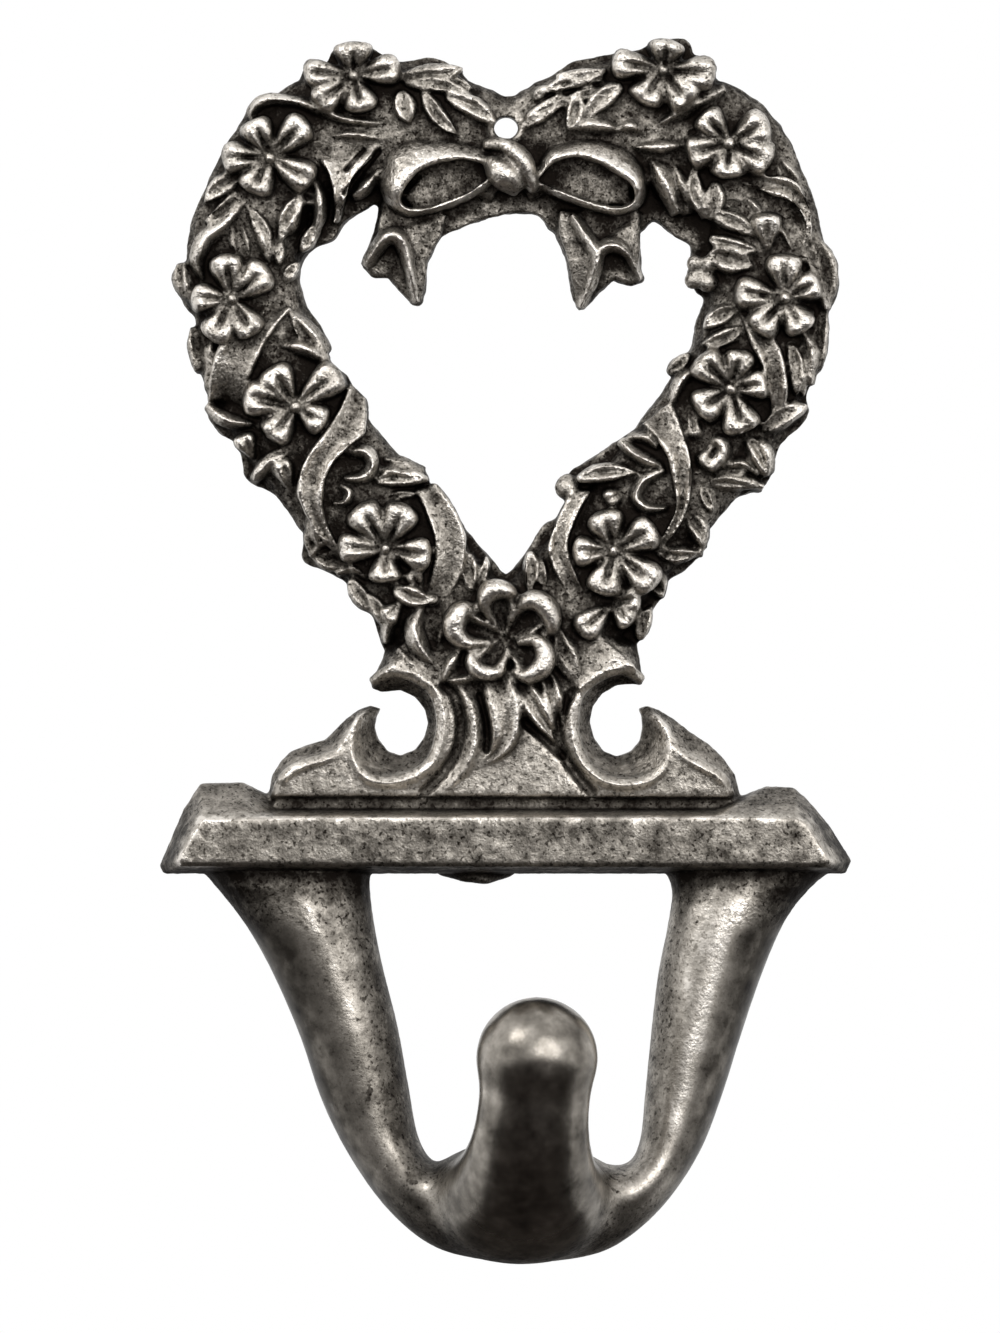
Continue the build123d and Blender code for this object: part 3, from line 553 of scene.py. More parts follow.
# pediment: stem and side wings in one outline that runs into both scroll holes
pediment = {
    # outline at the wall, then where the same point lies on the front face
    "outline": [
        (440, 612, 440, 618), (392, 645, 398, 648), (385, 650, 397, 655), (380, 665, 394, 664),
        (372, 680, 390, 669), (371, 688, 381, 673), (382, 692, 396, 669), (400, 690, 413, 673),
        (415, 697, 429, 682), (425, 710, 440, 697), (428, 723, 444, 720), (424, 738, 442, 744),
        (415, 750, 432, 763), (400, 756, 408, 778), (388, 752, 384, 781), (378, 740, 364, 774),
        (374, 728, 353, 757), (376, 716, 352, 738), (380, 709, 356, 724), (370, 706, 357, 719),
        (358, 710, 354, 722), (345, 720, 347, 736), (325, 740, 336, 752), (305, 746, 316, 763),
        (290, 752, 299, 768), (280, 762, 288, 776), (272, 775, 280, 787), (266, 803, 274, 796),
        (742, 803, 728, 797), (736, 776, 724, 782), (725, 760, 714, 773), (710, 745, 700, 767),
        (690, 732, 684, 757), (675, 720, 673, 744), (660, 711, 668, 730), (648, 706, 660, 722),
        (639, 709, 663, 727), (642, 716, 668, 741), (643, 728, 668, 755), (640, 742, 658, 772),
        (631, 752, 640, 783), (617, 757, 614, 784), (603, 751, 590, 769), (594, 738, 576, 748),
        (590, 722, 570, 722), (593, 706, 574, 697), (602, 694, 586, 680), (617, 685, 603, 670),
        (632, 684, 622, 665), (643, 685, 636, 668), (641, 665, 630, 660), (637, 645, 622, 648),
        (580, 612, 580, 618),
    ],
    "edgeRise": 2.8,
    "rise": 5.8,
    "topRise": 4.8,  # the part under the flowers
    "topLine": 662,
    "steps": 5,
    "leaves": [
        [(497, 672, 6.2, 17), (502, 696, 7.3, 20), (506, 720, 7.4, 18), (502, 744, 7.1, 13),
         (482, 766, 5.8, 2)],
        [(518, 678, 6.2, 10), (531, 700, 7.2, 13), (546, 724, 7.0, 10), (560, 742, 5.8, 2)],
        [(547, 676, 6.2, 9), (554, 702, 7.0, 11), (561, 738, 5.8, 2)],
    ],
    "leafFall": 1.4,
    "leafGroove": 0.8,
    "rims": [
        [(459, 686, 5.8, 5), (471, 706, 6.6, 7), (475, 738, 6.6, 7), (466, 768, 6.4, 7),
         (440, 796, 5.8, 5)],
        [(371, 683, 4.4, 5), (392, 671, 5.8, 7), (416, 675, 6.2, 8), (436, 691, 6.3, 8), (444, 716, 6.3, 8),
         (442, 740, 6.3, 8), (433, 763, 6.3, 8), (414, 777, 6.3, 8), (390, 783, 6.3, 8), (366, 778, 6.2, 8),
         (353, 760, 6.0, 7), (349, 738, 5.8, 6)],
        [(643, 681, 4.4, 5), (622, 668, 5.8, 7), (598, 674, 6.2, 8), (578, 691, 6.3, 8), (571, 716, 6.3, 8),
         (574, 744, 6.3, 8), (585, 767, 6.3, 8), (606, 782, 6.3, 8), (632, 785, 6.3, 8), (656, 777, 6.2, 8),
         (669, 758, 6.0, 7), (671, 738, 5.8, 6)],
        [(275, 797, 5.6, 5), (285, 779, 6.1, 7), (300, 768, 6.2, 7), (328, 759, 6.1, 7),
         (352, 750, 5.8, 6)],
        [(730, 797, 5.6, 5), (722, 781, 6.1, 7), (708, 771, 6.2, 7), (688, 760, 6.1, 7),
         (668, 744, 5.8, 6)],
    ],
    "rimFall": 0.7,
}
atWall = [(lowX, lowY) for lowX, lowY, topX, topY in pediment["outline"]]
atFront = [(topX, topY) for lowX, lowY, topX, topY in pediment["outline"]]
skin([level(atWall, 0), level(atWall, pediment["edgeRise"]),
      [at(px, py, pediment["topRise" if py < pediment["topLine"] else "rise"]) for px, py in atFront]])
for points in pediment["leaves"]:
    run = curve(points, pediment["steps"])
    blade(run, "leaf", pediment["leafFall"], [pediment["leafGroove"]] * len(run))
carve(pediment["rims"], pediment["steps"], "pleat", pediment["rimFall"])
print("pediment made")

# ledge: a long block that narrows to its front face, with a channel under the pediment
ledge = {
    "back": [
        (200, 784), (242, 783), (290, 807), (716, 807), (768, 787), (794, 788), (808, 800), (830, 826),
        (852, 861), (846, 874), (163, 874), (159, 866), (183, 810),
    ],
    "face": [
        (202, 818), (246, 817), (290, 816), (716, 816), (764, 816), (797, 817), (807, 822), (817, 838),
        (832, 863), (826, 867), (181, 866), (178, 860), (190, 836),
    ],
    "wallRise": 3.6,
    "rise": 9.5,
    "easeX": 0.008,  # how far the front's edge is eased in, and by how much in height
    "easeY": 0.1,
    "easeRise": 0.3,
    "floor": [(275, 792), (731, 792), (731, 822), (275, 822)],
    "floorRise": 5.0,
    "burr": [(440, 873, 1.5, 3), (462, 877, 3.6, 5), (486, 880, 3.9, 5), (512, 874, 1.5, 3)],
    "burrFall": 1.2,
}
middleX = sum(px for px, py in ledge["face"]) / len(ledge["face"])
middleY = sum(py for px, py in ledge["face"]) / len(ledge["face"])
eased = [(px + (middleX - px) * ledge["easeX"], py + (middleY - py) * ledge["easeY"])
         for px, py in ledge["face"]]
skin([level(ledge["back"], 0), level(ledge["back"], ledge["wallRise"]),
      level(ledge["face"], ledge["rise"] - ledge["easeRise"]), level(eased, ledge["rise"])])
slab(ledge["floor"], ledge["floorRise"])  # floor of the channel
blade(ledge["burr"], "round", ledge["burrFall"])  # burr left on the underside
print("ledge made")

# legs: half-round bars that meet in the foot; then the prong and its ball
hook = {
    "steps": 5,
    # outer edge, inner edge, rise
    "legLeft": [
        (196, 866, 372, 866, 6.6), (214, 886, 369, 886, 7.2), (244, 925, 373, 922, 7.6),
        (272, 975, 382, 968, 7.7), (300, 1040, 397, 1028, 7.8), (320, 1100, 408, 1088, 7.9),
        (347, 1155, 418, 1140, 8.3), (386, 1210, 436, 1166, 9.4), (432, 1248, 466, 1160, 10.6),
        (480, 1261, 494, 1154, 11.4), (521, 1264, 521, 1152, 11.6),
    ],
    "legRight": [
        (840, 866, 662, 866, 6.6), (812, 888, 673, 890, 7.2), (786, 922, 668, 930, 7.6),
        (762, 978, 659, 975, 7.7), (741, 1040, 652, 1034, 7.8), (722, 1100, 646, 1094, 7.9),
        (699, 1157, 640, 1146, 8.3), (660, 1212, 624, 1168, 9.4), (612, 1250, 584, 1160, 10.6),
        (564, 1262, 550, 1154, 11.4), (521, 1264, 521, 1152, 11.6),
    ],
    # share of the way across, share of the rise
    "section": [
        (0, 0.3), (0.05, 0.55), (0.14, 0.76), (0.28, 0.91), (0.44, 0.985), (0.56, 1.0), (0.7, 0.96),
        (0.84, 0.86), (0.95, 0.68), (1, 0.45),
    ],
    # x, y, rise, half width, half depth
    "prong": [
        (521, 1202, 4.0, 112, 6.4), (522, 1200, 8.0, 96, 6.7), (524, 1192, 12.0, 83, 6.5),
        (527, 1170, 16.0, 70, 5.9), (530, 1142, 18.8, 61, 5.4), (533, 1112, 20.0, 57, 5.1),
        (536, 1084, 20.1, 57, 5.3),
    ],
    "ball": (537, 1058, 20.0, 62),
    "facets": 28,
}
bars((hook["legLeft"], hook["legRight"]), hook["steps"], hook["section"])
run = curve(hook["prong"], hook["steps"])
pixelSize = sheet["pixel"] * 1000  # in millimetres
rings = []
for i, (px, py, rise, half, depth) in enumerate(run):
    before, after = run[max(i - 1, 0)], run[min(i + 1, len(run) - 1)]
    down = (after[1] - before[1]) * pixelSize
    out = after[2] - before[2]
    length = math.hypot(down, out) or 1.0
    ring = []
    for k in range(hook["facets"]):
        angle = 2 * math.pi * k / hook["facets"]
        lift = depth * math.sin(angle)
        ring.append(at(px + half * math.cos(angle), py + lift * out / length / pixelSize,
                       max(rise - lift * down / length, 0.0)))
    rings.append(ring)
skin(rings)
knob(*hook["ball"])
print("hook made")

# fuse the lumps into one casting, soften and roughen it as cast metal is, open the nail hole
finish = {
    "voxel": 0.00019,
    "softPasses": 2,
    "softShare": 0.5,
    "hookPasses": 160,
    "hookShare": 0.5,
    "hookTop": -0.0795,
    "hookFade": 0.006,
    "backSkin": 0.0004,  # stays in place while the hook is smoothed
    "grains": [(1100, 0.00005), (2300, 0.000035)],  # scale, height
    "grainFade": 0.004,
    "grainLeast": 0.25,
    "swells": [(330, 0.00022), (700, 0.00011)],
    "swellFoot": -0.052,
    "swellFade": 0.004,
    "backSnap": 0.00022,
    "triangles": 186000,
    "holeRadius": 0.00125,
    "drillMiddle": -0.003,
    "drillLength": 0.02,
    "drillSides": 48,
}
rawMesh = bpy.data.meshes.new("rawCasting")
casting.to_mesh(rawMesh)
casting.free()
castHook = bpy.data.objects.new("castHook", rawMesh)
bpy.context.scene.collection.objects.link(castHook)


def settle(piece):  # modifiers made part of the mesh
    shown = bpy.context.evaluated_depsgraph_get()
    mesh = bpy.data.meshes.new_from_object(piece.evaluated_get(shown))
    piece.modifiers.clear()
    piece.data = mesh


def vertexPairs(mesh):
    pairs = np.empty(len(mesh.edges) * 2, np.int64)
    mesh.edges.foreach_get("vertices", pairs)
    return pairs.reshape(-1, 2)


def neighbourCount(pairs, count):
    return np.maximum(np.bincount(pairs.ravel(), minlength=count), 1)


def neighbourMean(values, pairs, valence):
    total = np.bincount(pairs[:, 0], values[pairs[:, 1]], len(values))
    total += np.bincount(pairs[:, 1], values[pairs[:, 0]], len(values))
    return total / valence


def fade(values, start, width):  # 0 at the start, 1 a width further on
    return np.clip((values - start) / width, 0, 1)


def gain(values, least, more, start, width):
    return least + more * fade(values, start, width)


fuse = castHook.modifiers.new("fuse", "REMESH")
fuse.mode = "VOXEL"
fuse.voxel_size = finish["voxel"]
settle(castHook)
print("casting fused", len(castHook.data.polygons))

places = np.empty(len(castHook.data.vertices) * 3)
castHook.data.vertices.foreach_get("co", places)
places = places.reshape(-1, 3)
links = vertexPairs(castHook.data)


def soften(pairs, share, passes):
    valence = neighbourCount(pairs, len(places))
    for turn in range(passes):
        for axis in range(3):
            column = places[:, axis]
            column += (neighbourMean(column, pairs, valence) - column) * share


soften(links, finish["softShare"], finish["softPasses"])
onHook = places[:, 2] < finish["hookTop"]
hookShare = fade(places[:, 2], finish["hookTop"], -finish["hookFade"]) * finish["hookShare"]
hookShare[places[:, 1] > -finish["backSkin"]] = 0
soften(links[onHook[links].all(axis=1)], hookShare, finish["hookPasses"])
print("hook smoothed")

# dark grooves cut into the front: half width in pixels, depth in millimetres, then the line
grooves = {
    "lines": [
        (6.5, 0.7, [(444, 686), (455, 697), (461, 724), (456, 752), (442, 774), (424, 793)]),
        (6.5, 0.7, [(574, 692), (564, 706), (558, 730), (566, 758), (578, 776), (592, 793)]),
        (4.5, 0.6, [(480, 696), (487, 722), (487, 750)]), (5.5, 0.7, [(524, 722), (543, 738), (562, 756)]),
        (3.5, 0.6, [(379, 151), (361, 172), (345, 193)]), (3, 0.45, [(364, 150), (346, 170)]),
    ],
    "steps": 6,
    "facing": -0.2,
    "least": 0.001,
}


def awayFrom(line, xs, ys):  # distance of each spot from a drawn line, in pixels
    away = np.full(len(xs), np.inf)
    for a, b in zip(line, line[1:]):
        way = b - a
        toSpot = np.stack((xs - a[0], ys - a[1]), axis=1)
        along = np.clip(toSpot @ way / (way @ way), 0, 1)
        away = np.minimum(away, np.hypot(*(toSpot - along[:, None] * way).T))
    return away


def onSheet(xs, zs):  # pixels of the front view
    return xs / sheet["pixel"] + sheet["axisX"], sheet["holeY"] - zs / sheet["pixel"]


normals = np.empty(places.size)
castHook.data.vertices.foreach_set("co", places.ravel())
castHook.data.update()
castHook.data.vertices.foreach_get("normal", normals)
normals = normals.reshape(-1, 3)
spotX, spotY = onSheet(places[:, 0], places[:, 2])
for half, depth, line in grooves["lines"]:
    line = np.array(curve(line, grooves["steps"]))
    lowX, lowY = line.min(axis=0) - half
    highX, highY = line.max(axis=0) + half
    inBox = (spotX > lowX) & (spotX < highX) & (spotY > lowY) & (spotY < highY)
    picked = np.nonzero(inBox & (normals[:, 1] < grooves["facing"]))[0]
    away = awayFrom(line, spotX[picked], spotY[picked])
    sink = depth * mm * np.clip(1 - (away / half) ** 2, 0, 1)
    places[picked, 1] = np.minimum(places[picked, 1] + sink, -grooves["least"])
print("grooves cut")


def roughen(scales, share):
    for scale, height in scales:
        lift = np.array([noise.noise(Vector(p) * scale) for p in places]) * height * share
        places[:] += normals * lift[:, None]


grainStart = finish["hookTop"] - finish["grainFade"]
roughen(finish["grains"], gain(places[:, 2], finish["grainLeast"], 1 - finish["grainLeast"],
                               grainStart, finish["grainFade"]))
# uneven ground between the carving
roughen(finish["swells"], fade(places[:, 2], finish["swellFoot"], finish["swellFade"]))
places[places[:, 1] > -finish["backSnap"], 1] = 0.0
places = np.clip(places, cadBox[0], cadBox[1])
castHook.data.vertices.foreach_set("co", places.ravel())
castHook.data.update()
print("surface roughened")

drill = bmesh.new()
drillPose = Matrix.Translation((0, finish["drillMiddle"], 0)) @ Matrix.Rotation(math.pi / 2, 4, "X")
bmesh.ops.create_cone(drill, cap_ends=True, segments=finish["drillSides"], radius1=finish["holeRadius"],
                      radius2=finish["holeRadius"], depth=finish["drillLength"], matrix=drillPose)
drillMesh = bpy.data.meshes.new("drill")
drill.to_mesh(drillMesh)
drill.free()
drillBit = bpy.data.objects.new("drillBit", drillMesh)
bpy.context.scene.collection.objects.link(drillBit)
thin = castHook.modifiers.new("thin", "DECIMATE")
thin.ratio = finish["triangles"] / (2 * len(castHook.data.polygons))
settle(castHook)
bore = castHook.modifiers.new("bore", "BOOLEAN")
bore.object = drillBit
bore.operation = "DIFFERENCE"
bore.solver = "EXACT"
settle(castHook)
bpy.data.objects.remove(drillBit)

body = bmesh.new()
body.from_mesh(castHook.data)
fringe = [min(body.verts, key=lambda vert: vert.co.y)]  # walks over the outer skin from the prong's front
reached = set(fringe)
while fringe:
    for edge in fringe.pop().link_edges:
        for vert in edge.verts:
            if vert not in reached:
                reached.add(vert)
                fringe.append(vert)
bubbles = [vert for vert in body.verts if vert not in reached]  # shut inside the metal
bmesh.ops.delete(body, geom=bubbles, context="VERTS")
body.to_mesh(castHook.data)
body.free()
print("casting thinned", len(castHook.data.polygons))

# how deep each spot lies in a hollow and how far it stands on a ridge
patina = {
    "rays": 22,
    "start": 0.00004,
    "hollowReach": 0.0026,
    "hollowFade": 0.6,
    "ridgeReach": 0.0011,
    "lowPasses": 80,
    "lowDepth": 0.001,
    "leastFacing": 0.001,
}
castHook.data.calc_loop_triangles()
spots = [v.co.copy() for v in castHook.data.vertices]
outward = [v.normal.copy() for v in castHook.data.vertices]
surface = BVHTree.FromPolygons(spots, [tuple(t.vertices) for t in castHook.data.loop_triangles])
golden = math.pi * (3 - math.sqrt(5))
fan = []
for k in range(patina["rays"]):
    lift = math.sqrt((k + 0.5) / patina["rays"])
    wide = math.sqrt(1 - lift * lift)
    fan.append(Vector((wide * math.cos(k * golden), wide * math.sin(k * golden), lift)))
hollow = np.zeros(len(spots))
ridgeAndPaintedLight = np.zeros(len(spots))
for i, (spot, normal) in enumerate(zip(spots, outward)):
    turned = normal.to_track_quat("Z", "Y")
    start = spot + normal * patina["start"]
    inside = spot - normal * patina["start"]
    for ray in fan:
        hit = surface.ray_cast(start, turned @ ray, patina["hollowReach"])
        if hit[0]:
            hollow[i] += 1 - patina["hollowFade"] * hit[3] / patina["hollowReach"]
    for ray in fan[::2]:
        hit = surface.ray_cast(inside, -(turned @ ray), patina["ridgeReach"])
        if hit[0]:
            ridgeAndPaintedLight[i] += 1
hollow /= patina["rays"]
ridgeAndPaintedLight /= len(fan[::2])
height = np.array([p.z for p in spots])
reach = np.array([-p.y for p in spots])
spotX, spotY = onSheet(np.array([p.x for p in spots]), height)

thinLinks = vertexPairs(castHook.data)
valence = neighbourCount(thinLinks, len(spots))
weight = np.clip(np.array([-n.y for n in outward]), patina["leastFacing"], 1)
ground = reach * weight
for turn in range(patina["lowPasses"]):  # height of the ground round about
    ground = neighbourMean(ground, thinLinks, valence)
    weight = neighbourMean(weight, thinLinks, valence)
sunk = np.clip((ground / weight - reach) / patina["lowDepth"], -1, 1)
print("hollows found")

# zones rubbed bright or polished, plus painted highlights and painted shade on the legs and ledge; bands are
# pixels of the front view, a fade is its start and width
wearAndPaintedLight = {
    "splitX": 521,  # between the legs; their middles run straight from the knee under the ledge
    "kneeY": 886,
    "leftLeg": (292, 0.335),  # x at the knee, slope
    "rightLeg": (742, -0.268),
    "legTop": 888,
    "legReach": 0.0095,
    # least, gain, fade
    "acrossPolish": (0.5, 0.35, -5, 25),
    "kneePolish": (0.4, 0.6, 890, 40),
    "windowPolish": (0.55, 0.45, -45, 15),  # pitted along the window
    "plainPolish": (0, 0.35, -0.06, -0.006),
    # painted shade: the outer side of each leg darker
    "outerPaintedShade": (0, 0.6, 8, 25),
    "kneePaintedShade": (0, 0.6, 908, -16),  # painted shade just under the ledge's overhang; pitted there too
    "prongFade": (0.008, 0.008),
    "hookFade": -0.004,
    "innerFade": (12, -25),
    # inner half of the left leg darker, of the right leg lighter
    "leftInnerTone": -0.3,
    "rightInnerTone": 0.25,
    "pediment": (690, 800),
    "pedimentLow": -0.3,
    "ledge": (814, 872),
    "ledgeLow": 0.5,
    "ledgeWear": [(150, 0.7), (420, 0.7), (1000, 1.0)],  # scale, weight
    # painted highlights: bright streaks along the ledge's edges and down the legs' crests, where light
    # catches them: half width, strength, line
    "paintedHighlights": [
        (4, 0.9, [(200, 819), (300, 817), (500, 816), (700, 816), (797, 818)]),
        (4, 0.8, [(203, 818), (192, 838), (181, 860)]),
        (7, 0.8, [(303, 896), (322, 940), (342, 985), (357, 1030)]),
        (8, 0.5, [(322, 1040), (345, 1095), (372, 1140)]),
        (9, 0.9, [(747, 900), (722, 940), (707, 1000), (700, 1045)]),
        (11, 0.8, [(694, 1040), (686, 1080), (676, 1120)]), (6, 0.5, [(690, 960), (682, 1010)]),
        (5, 0.3, [(340, 930), (352, 965)]),
    ],
    "streakCore": 1.2,
    "streakMean": 0.75,
    "streakNoise": 0.7,
    "streakScale": 900,
}
onLeft = spotX < wearAndPaintedLight["splitX"]
legX, legSlope = [np.where(onLeft, *sides) for sides in zip(wearAndPaintedLight["leftLeg"], wearAndPaintedLight["rightLeg"])]
middle = legX + legSlope * (spotY - wearAndPaintedLight["kneeY"])
outer = np.where(onLeft, middle - spotX, spotX - middle)  # side of a leg away from the window
onLeg = (spotY > wearAndPaintedLight["legTop"]) & (reach < wearAndPaintedLight["legReach"])
# painted shade darkens the outer side of each leg
ridgeAndPaintedLight -= onLeg * gain(outer, *wearAndPaintedLight["outerPaintedShade"])
# painted shade under the ledge's overhang
ridgeAndPaintedLight -= (spotY > wearAndPaintedLight["ledge"][1]) * gain(spotY, *wearAndPaintedLight["kneePaintedShade"])
# inner half of the left leg darker, of the right leg lighter
ridgeAndPaintedLight += onLeg * np.where(onLeft, wearAndPaintedLight["leftInnerTone"], wearAndPaintedLight["rightInnerTone"]) * fade(outer, *wearAndPaintedLight["innerFade"])
# paint the highlight streaks into the ridge attribute
for half, strength, line in wearAndPaintedLight["paintedHighlights"]:
    away = awayFrom(np.array(line, float), spotX, spotY)
    paintedGlint = strength * np.clip(wearAndPaintedLight["streakCore"] - away / half, 0, 1)
    picked = np.nonzero(paintedGlint)[0]
    uneven = np.array([noise.noise(spots[i] * wearAndPaintedLight["streakScale"]) for i in picked])
    ridgeAndPaintedLight[picked] += paintedGlint[picked] * (wearAndPaintedLight["streakMean"] + wearAndPaintedLight["streakNoise"] * uneven)
polish = gain(outer, *wearAndPaintedLight["acrossPolish"]) * gain(spotY, *wearAndPaintedLight["kneePolish"])
polish *= gain(outer, *wearAndPaintedLight["windowPolish"])
polish += (1 - polish) * fade(reach, *wearAndPaintedLight["prongFade"])
polish *= fade(height, finish["hookTop"], wearAndPaintedLight["hookFade"])
polish = np.maximum(polish, gain(height, *wearAndPaintedLight["plainPolish"]))
onPediment = (spotY > wearAndPaintedLight["pediment"][0]) & (spotY < wearAndPaintedLight["pediment"][1])
onLedge = np.nonzero((spotY > wearAndPaintedLight["ledge"][0]) & (spotY < wearAndPaintedLight["ledge"][1]))[0]
sunk[onPediment] += wearAndPaintedLight["pedimentLow"]
sunk[onLedge] += wearAndPaintedLight["ledgeLow"]
for scale, share in wearAndPaintedLight["ledgeWear"]:
    sunk[onLedge] += [share * noise.noise(spots[i] * scale) for i in onLedge]
# the ridge attribute holds rubbed ridges plus the painted highlights and painted shade above
for name, values in (("hollow", hollow), ("ridgeAndPaintedLight", ridgeAndPaintedLight), ("polish", polish), ("low", sunk)):
    layer = castHook.data.attributes.new(name, "FLOAT", "POINT")
    layer.data.foreach_set("value", values)
castHook.data.shade_smooth()
print("patina worked out", round(float(hollow.mean()), 3), round(float(ridgeAndPaintedLight.mean()), 3))

# antiqued grey metal: patina dark in the hollows, rubbed bright on the ridges, with the painted highlights
# and painted shade that the ridge attribute carries
coat = {
    # scale, detail
    "noises": {"cloud": (160.0, 4.0), "blotch": (320.0, 3.0), "mottle": (620.0, 3.0), "chip": (950.0, 2.0),
               "grain": (1700.0, 3.0), "pit": (2500.0, 1.0), "speck": (4200.0, 2.0)},
    "marks": {"chip": (0.65, 0.72), "pit": (0.6, 0.7)},  # where the noise turns into a mark
    # what each adds to the tone, on the rough metal and on the polished
    "rough": {"hollow": -0.92, "blotch": 0.2, "chip": -0.2, "ridgeAndPaintedLight": 0.34, "low": -0.27, "cloud": 0.22,
              "mottle": 0.42, "grain": 0.56, "speck": 0.46, "pit": -0.3},
    "roughBase": -0.27,
    "smooth": {"cloud": 0.3, "mottle": 0.45, "ridgeAndPaintedLight": 0.34, "blotch": 0.42, "chip": -0.26, "pit": -0.14},
    "smoothBase": 0.02,
    # tone, colour
    "darkest": (0.2, (0.014, 0.011, 0.009, 1)),
    "between": [(0.42, (0.085, 0.076, 0.065, 1)), (0.62, (0.26, 0.238, 0.208, 1)),
                (0.8, (0.47, 0.434, 0.386, 1))],
    "lightest": (0.98, (0.8, 0.75, 0.685, 1)),
    # from and to, each least and most
    "markFade": (0.4, 0.9, 1.0, 0.1),
    "toneRoughness": (0.3, 0.95, 0.62, 0.3),
    "bumpFade": (0.0, 0.65, 0.75, 0.05),
    "polishPower": 2.0,
    "polishedRoughness": 0.27,
    "bumpSpeck": {"speck": 0.5},
    "bumpDistance": 0.0002,
}


def node(tree, kind, inputs=None, **settings):
    made = tree.nodes.new(kind)
    for key, value in settings.items():
        setattr(made, key, value)
    for key, value in (inputs or {}).items():
        if isinstance(value, bpy.types.NodeSocket):
            tree.links.new(value, made.inputs[key])
        else:
            made.inputs[key].default_value = value
    return made


def combine(tree, operation, *values):
    return node(tree, "ShaderNodeMath", dict(enumerate(values)), operation=operation).outputs[0]


def remap(tree, value, fromMin, fromMax, toMin=0.0, toMax=1.0):
    spans = {"From Min": fromMin, "From Max": fromMax, "To Min": toMin, "To Max": toMax}
    return node(tree, "ShaderNodeMapRange", {"Value": value, **spans}).outputs["Result"]


def blend(tree, factor, first, second):
    inputs = {"Factor": factor, 2: first, 3: second}
    return node(tree, "ShaderNodeMix", inputs, data_type="FLOAT").outputs[0]


pewter = bpy.data.materials.new("antiquedPewter")
pewter.use_nodes = True
metal = pewter.node_tree
shader = metal.nodes["Principled BSDF"]
shader.inputs["Metallic"].default_value = 1.0
surfacePlace = node(metal, "ShaderNodeTexCoord").outputs["Object"]
parts = {}
for name in ("hollow", "ridgeAndPaintedLight", "polish", "low"):
    parts[name] = node(metal, "ShaderNodeAttribute", attribute_name=name).outputs["Fac"]
for name, (scale, detail) in coat["noises"].items():
    inputs = {"Vector": surfacePlace, "Scale": scale, "Detail": detail}
    parts[name] = node(metal, "ShaderNodeTexNoise", inputs).outputs["Fac"]
markShare = remap(metal, parts["polish"], *coat["markFade"])
for name, span in coat["marks"].items():
    parts[name] = combine(metal, "MULTIPLY", remap(metal, parts[name], *span), markShare)


def weigh(shares, total):
    for name, share in shares.items():
        total = combine(metal, "MULTIPLY_ADD", parts[name], share, total)
    return total


tone = blend(metal, parts["polish"], weigh(coat["rough"], coat["roughBase"]),
             weigh(coat["smooth"], coat["smoothBase"]))
colours = node(metal, "ShaderNodeValToRGB", {"Fac": tone})
band = colours.color_ramp.elements
band[0].position, band[0].color = coat["darkest"]
band[1].position, band[1].color = coat["lightest"]
for place, colour in coat["between"]:
    band.new(place).color = colour
metal.links.new(colours.outputs["Color"], shader.inputs["Base Color"])
buffed = combine(metal, "POWER", parts["polish"], coat["polishPower"])
gloss = blend(metal, buffed, remap(metal, tone, *coat["toneRoughness"]), coat["polishedRoughness"])
metal.links.new(gloss, shader.inputs["Roughness"])
relief = node(metal, "ShaderNodeBump", {
    "Height": weigh(coat["bumpSpeck"], parts["grain"]),
    "Strength": remap(metal, parts["polish"], *coat["bumpFade"]),
    "Distance": coat["bumpDistance"],
})
metal.links.new(relief.outputs["Normal"], shader.inputs["Normal"])
castHook.data.materials.clear()
castHook.data.materials.append(pewter)
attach(castHook, "root")
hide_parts("cast_hook")
print("pewter done")

# studio: pale floor well below, white all round, soft lamps, a dark card and mat for the prong to reflect
studio = {
    "white": (1, 1, 1, 1),
    "unseenWhite": 0.6,  # as light on dull surfaces
    "seenWhite": 1.0,
    "sides": 64,
    "dull": 0.9,
    "floorColour": (0.86, 0.86, 0.86, 1),
    "floorSize": 1.6,
    "floorPlace": (0, 0, -0.34),
    "dark": (0.035, 0.028, 0.024, 1),
    "cardSize": 0.24,
    "cardShape": (1.9, 1.12, 1, 1),
    "cardPlace": (0, -0.15, -0.215),
    "cardLean": -32,  # degrees, rises from under the hook to the front
    "matSize": 0.3,
    "matShape": (0.9, 1.1, 1, 1),
    "matPlace": (0, 0.24, -0.334),
    "aim": (0, 0, -0.055),
    # place, size, power
    "lamps": {"keyLamp": ((0.28, -0.75, 0.14), 0.7, 2.6), "fillLamp": ((-0.5, -0.5, 0.5), 0.4, 2.0)},
    "sensor": 24.0,
}
world = bpy.data.worlds.new("studioWhite")
bpy.context.scene.world = world
world.use_nodes = True
sky = world.node_tree
back = sky.nodes["Background"]
back.inputs["Color"].default_value = studio["white"]
rays = node(sky, "ShaderNodeLightPath").outputs
mirrored = combine(sky, "MAXIMUM", rays["Is Glossy Ray"], rays["Is Transmission Ray"])
seen = combine(sky, "MAXIMUM", rays["Is Camera Ray"], mirrored)
skyStrength = remap(sky, seen, 0.0, 1.0, studio["unseenWhite"], studio["seenWhite"])
sky.links.new(skyStrength, back.inputs["Strength"])


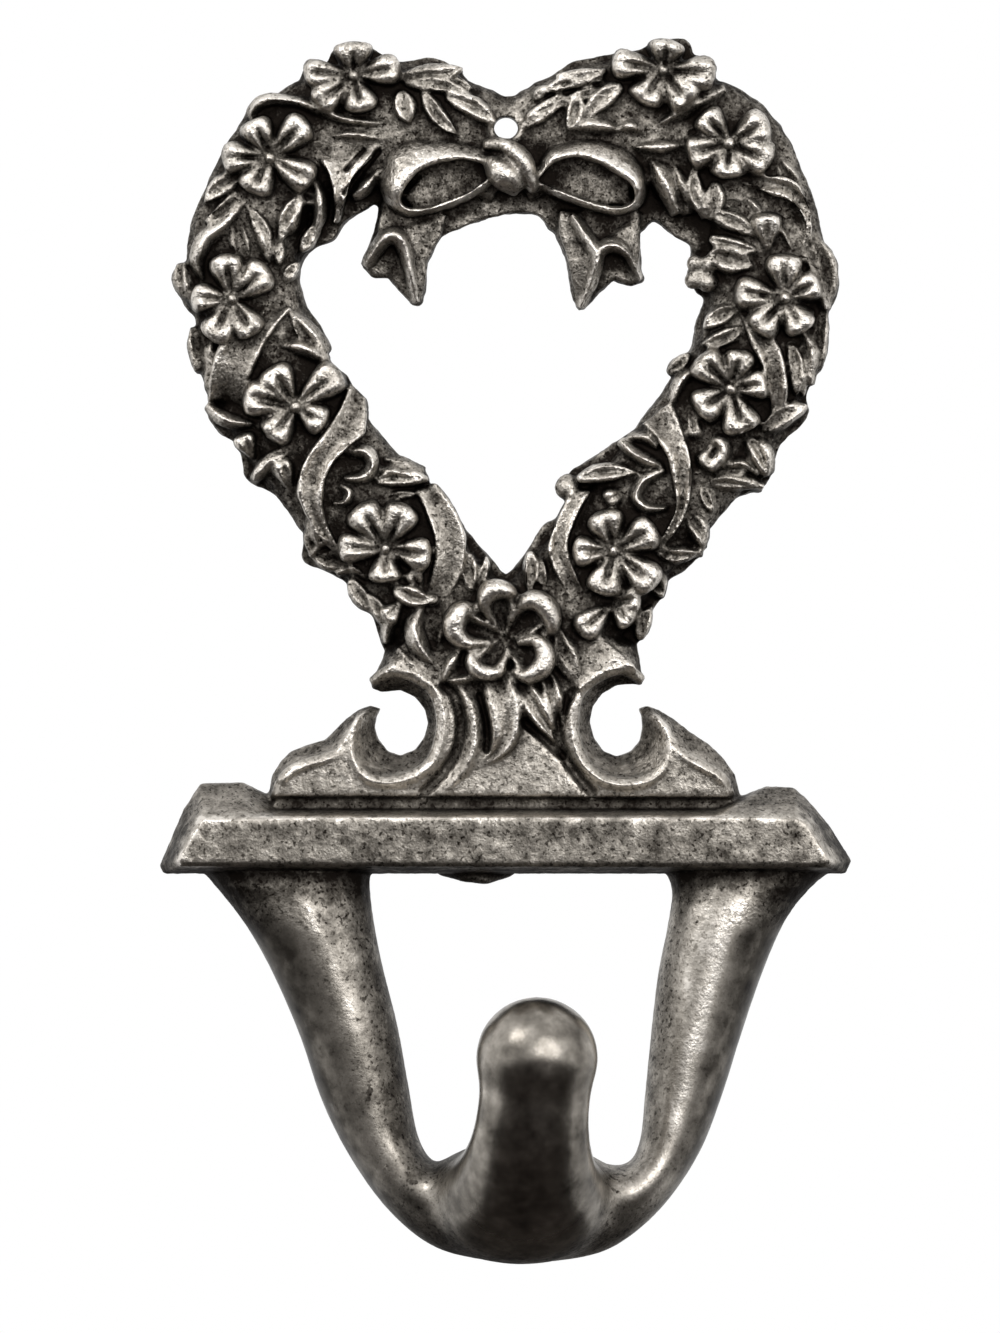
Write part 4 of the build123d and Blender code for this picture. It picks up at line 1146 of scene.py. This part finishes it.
def stagePlane(name, size, place, colour):
    bm = bmesh.new()
    bmesh.ops.create_circle(bm, cap_ends=True, segments=studio["sides"], radius=size, matrix=place)
    mesh = bpy.data.meshes.new(name)
    bm.to_mesh(mesh)
    bm.free()
    made = bpy.data.objects.new(name, mesh)
    bpy.context.scene.collection.objects.link(made)
    paint = bpy.data.materials.new(name)
    paint.use_nodes = True
    paintShader = paint.node_tree.nodes["Principled BSDF"]
    paintShader.inputs["Base Color"].default_value = colour
    paintShader.inputs["Roughness"].default_value = studio["dull"]
    mesh.materials.append(paint)
    return made


floorPose = Matrix.Translation(studio["floorPlace"])
cardLean = Matrix.Rotation(math.radians(studio["cardLean"]), 4, "X")
cardPose = Matrix.Translation(studio["cardPlace"]) @ cardLean @ Matrix.Diagonal(studio["cardShape"])
matPose = Matrix.Translation(studio["matPlace"]) @ Matrix.Diagonal(studio["matShape"])
stagePlane("paleFloor", studio["floorSize"], floorPose, studio["floorColour"])
card = stagePlane("darkCard", studio["cardSize"], cardPose, studio["dark"])
mat = stagePlane("darkMat", studio["matSize"], matPose, studio["dark"])
for flag in (card, mat):  # seen only as a reflection
    flag.visible_camera = False
    flag.visible_diffuse = False
    flag.visible_shadow = False

for name, (place, size, power) in studio["lamps"].items():
    light = bpy.data.lights.new(name, "AREA")
    light.shape = "DISK"
    light.size = size
    light.energy = power
    lamp = bpy.data.objects.new(name, light)
    lamp.location = place
    lamp.rotation_euler = (Vector(studio["aim"]) - Vector(place)).to_track_quat("-Z", "Y").to_euler()
    bpy.context.scene.collection.objects.link(lamp)

eye = bpy.data.cameras.new("frontView")
eye.sensor_fit = "VERTICAL"
eye.sensor_height = studio["sensor"]
eye.lens = studio["sensor"] * (sheet["distance"] - sheet["trueRise"]) * mm / (sheet["tall"] * sheet["pixel"])
stand = bpy.data.objects.new("frontView", eye)
stand.location = at(sheet["middleX"], sheet["middleY"], sheet["distance"])
stand.rotation_euler = (math.pi / 2, 0, 0)
bpy.context.scene.collection.objects.link(stand)
bpy.context.scene.camera = stand
bpy.context.scene.view_settings.view_transform = "Standard"
print("studio set")
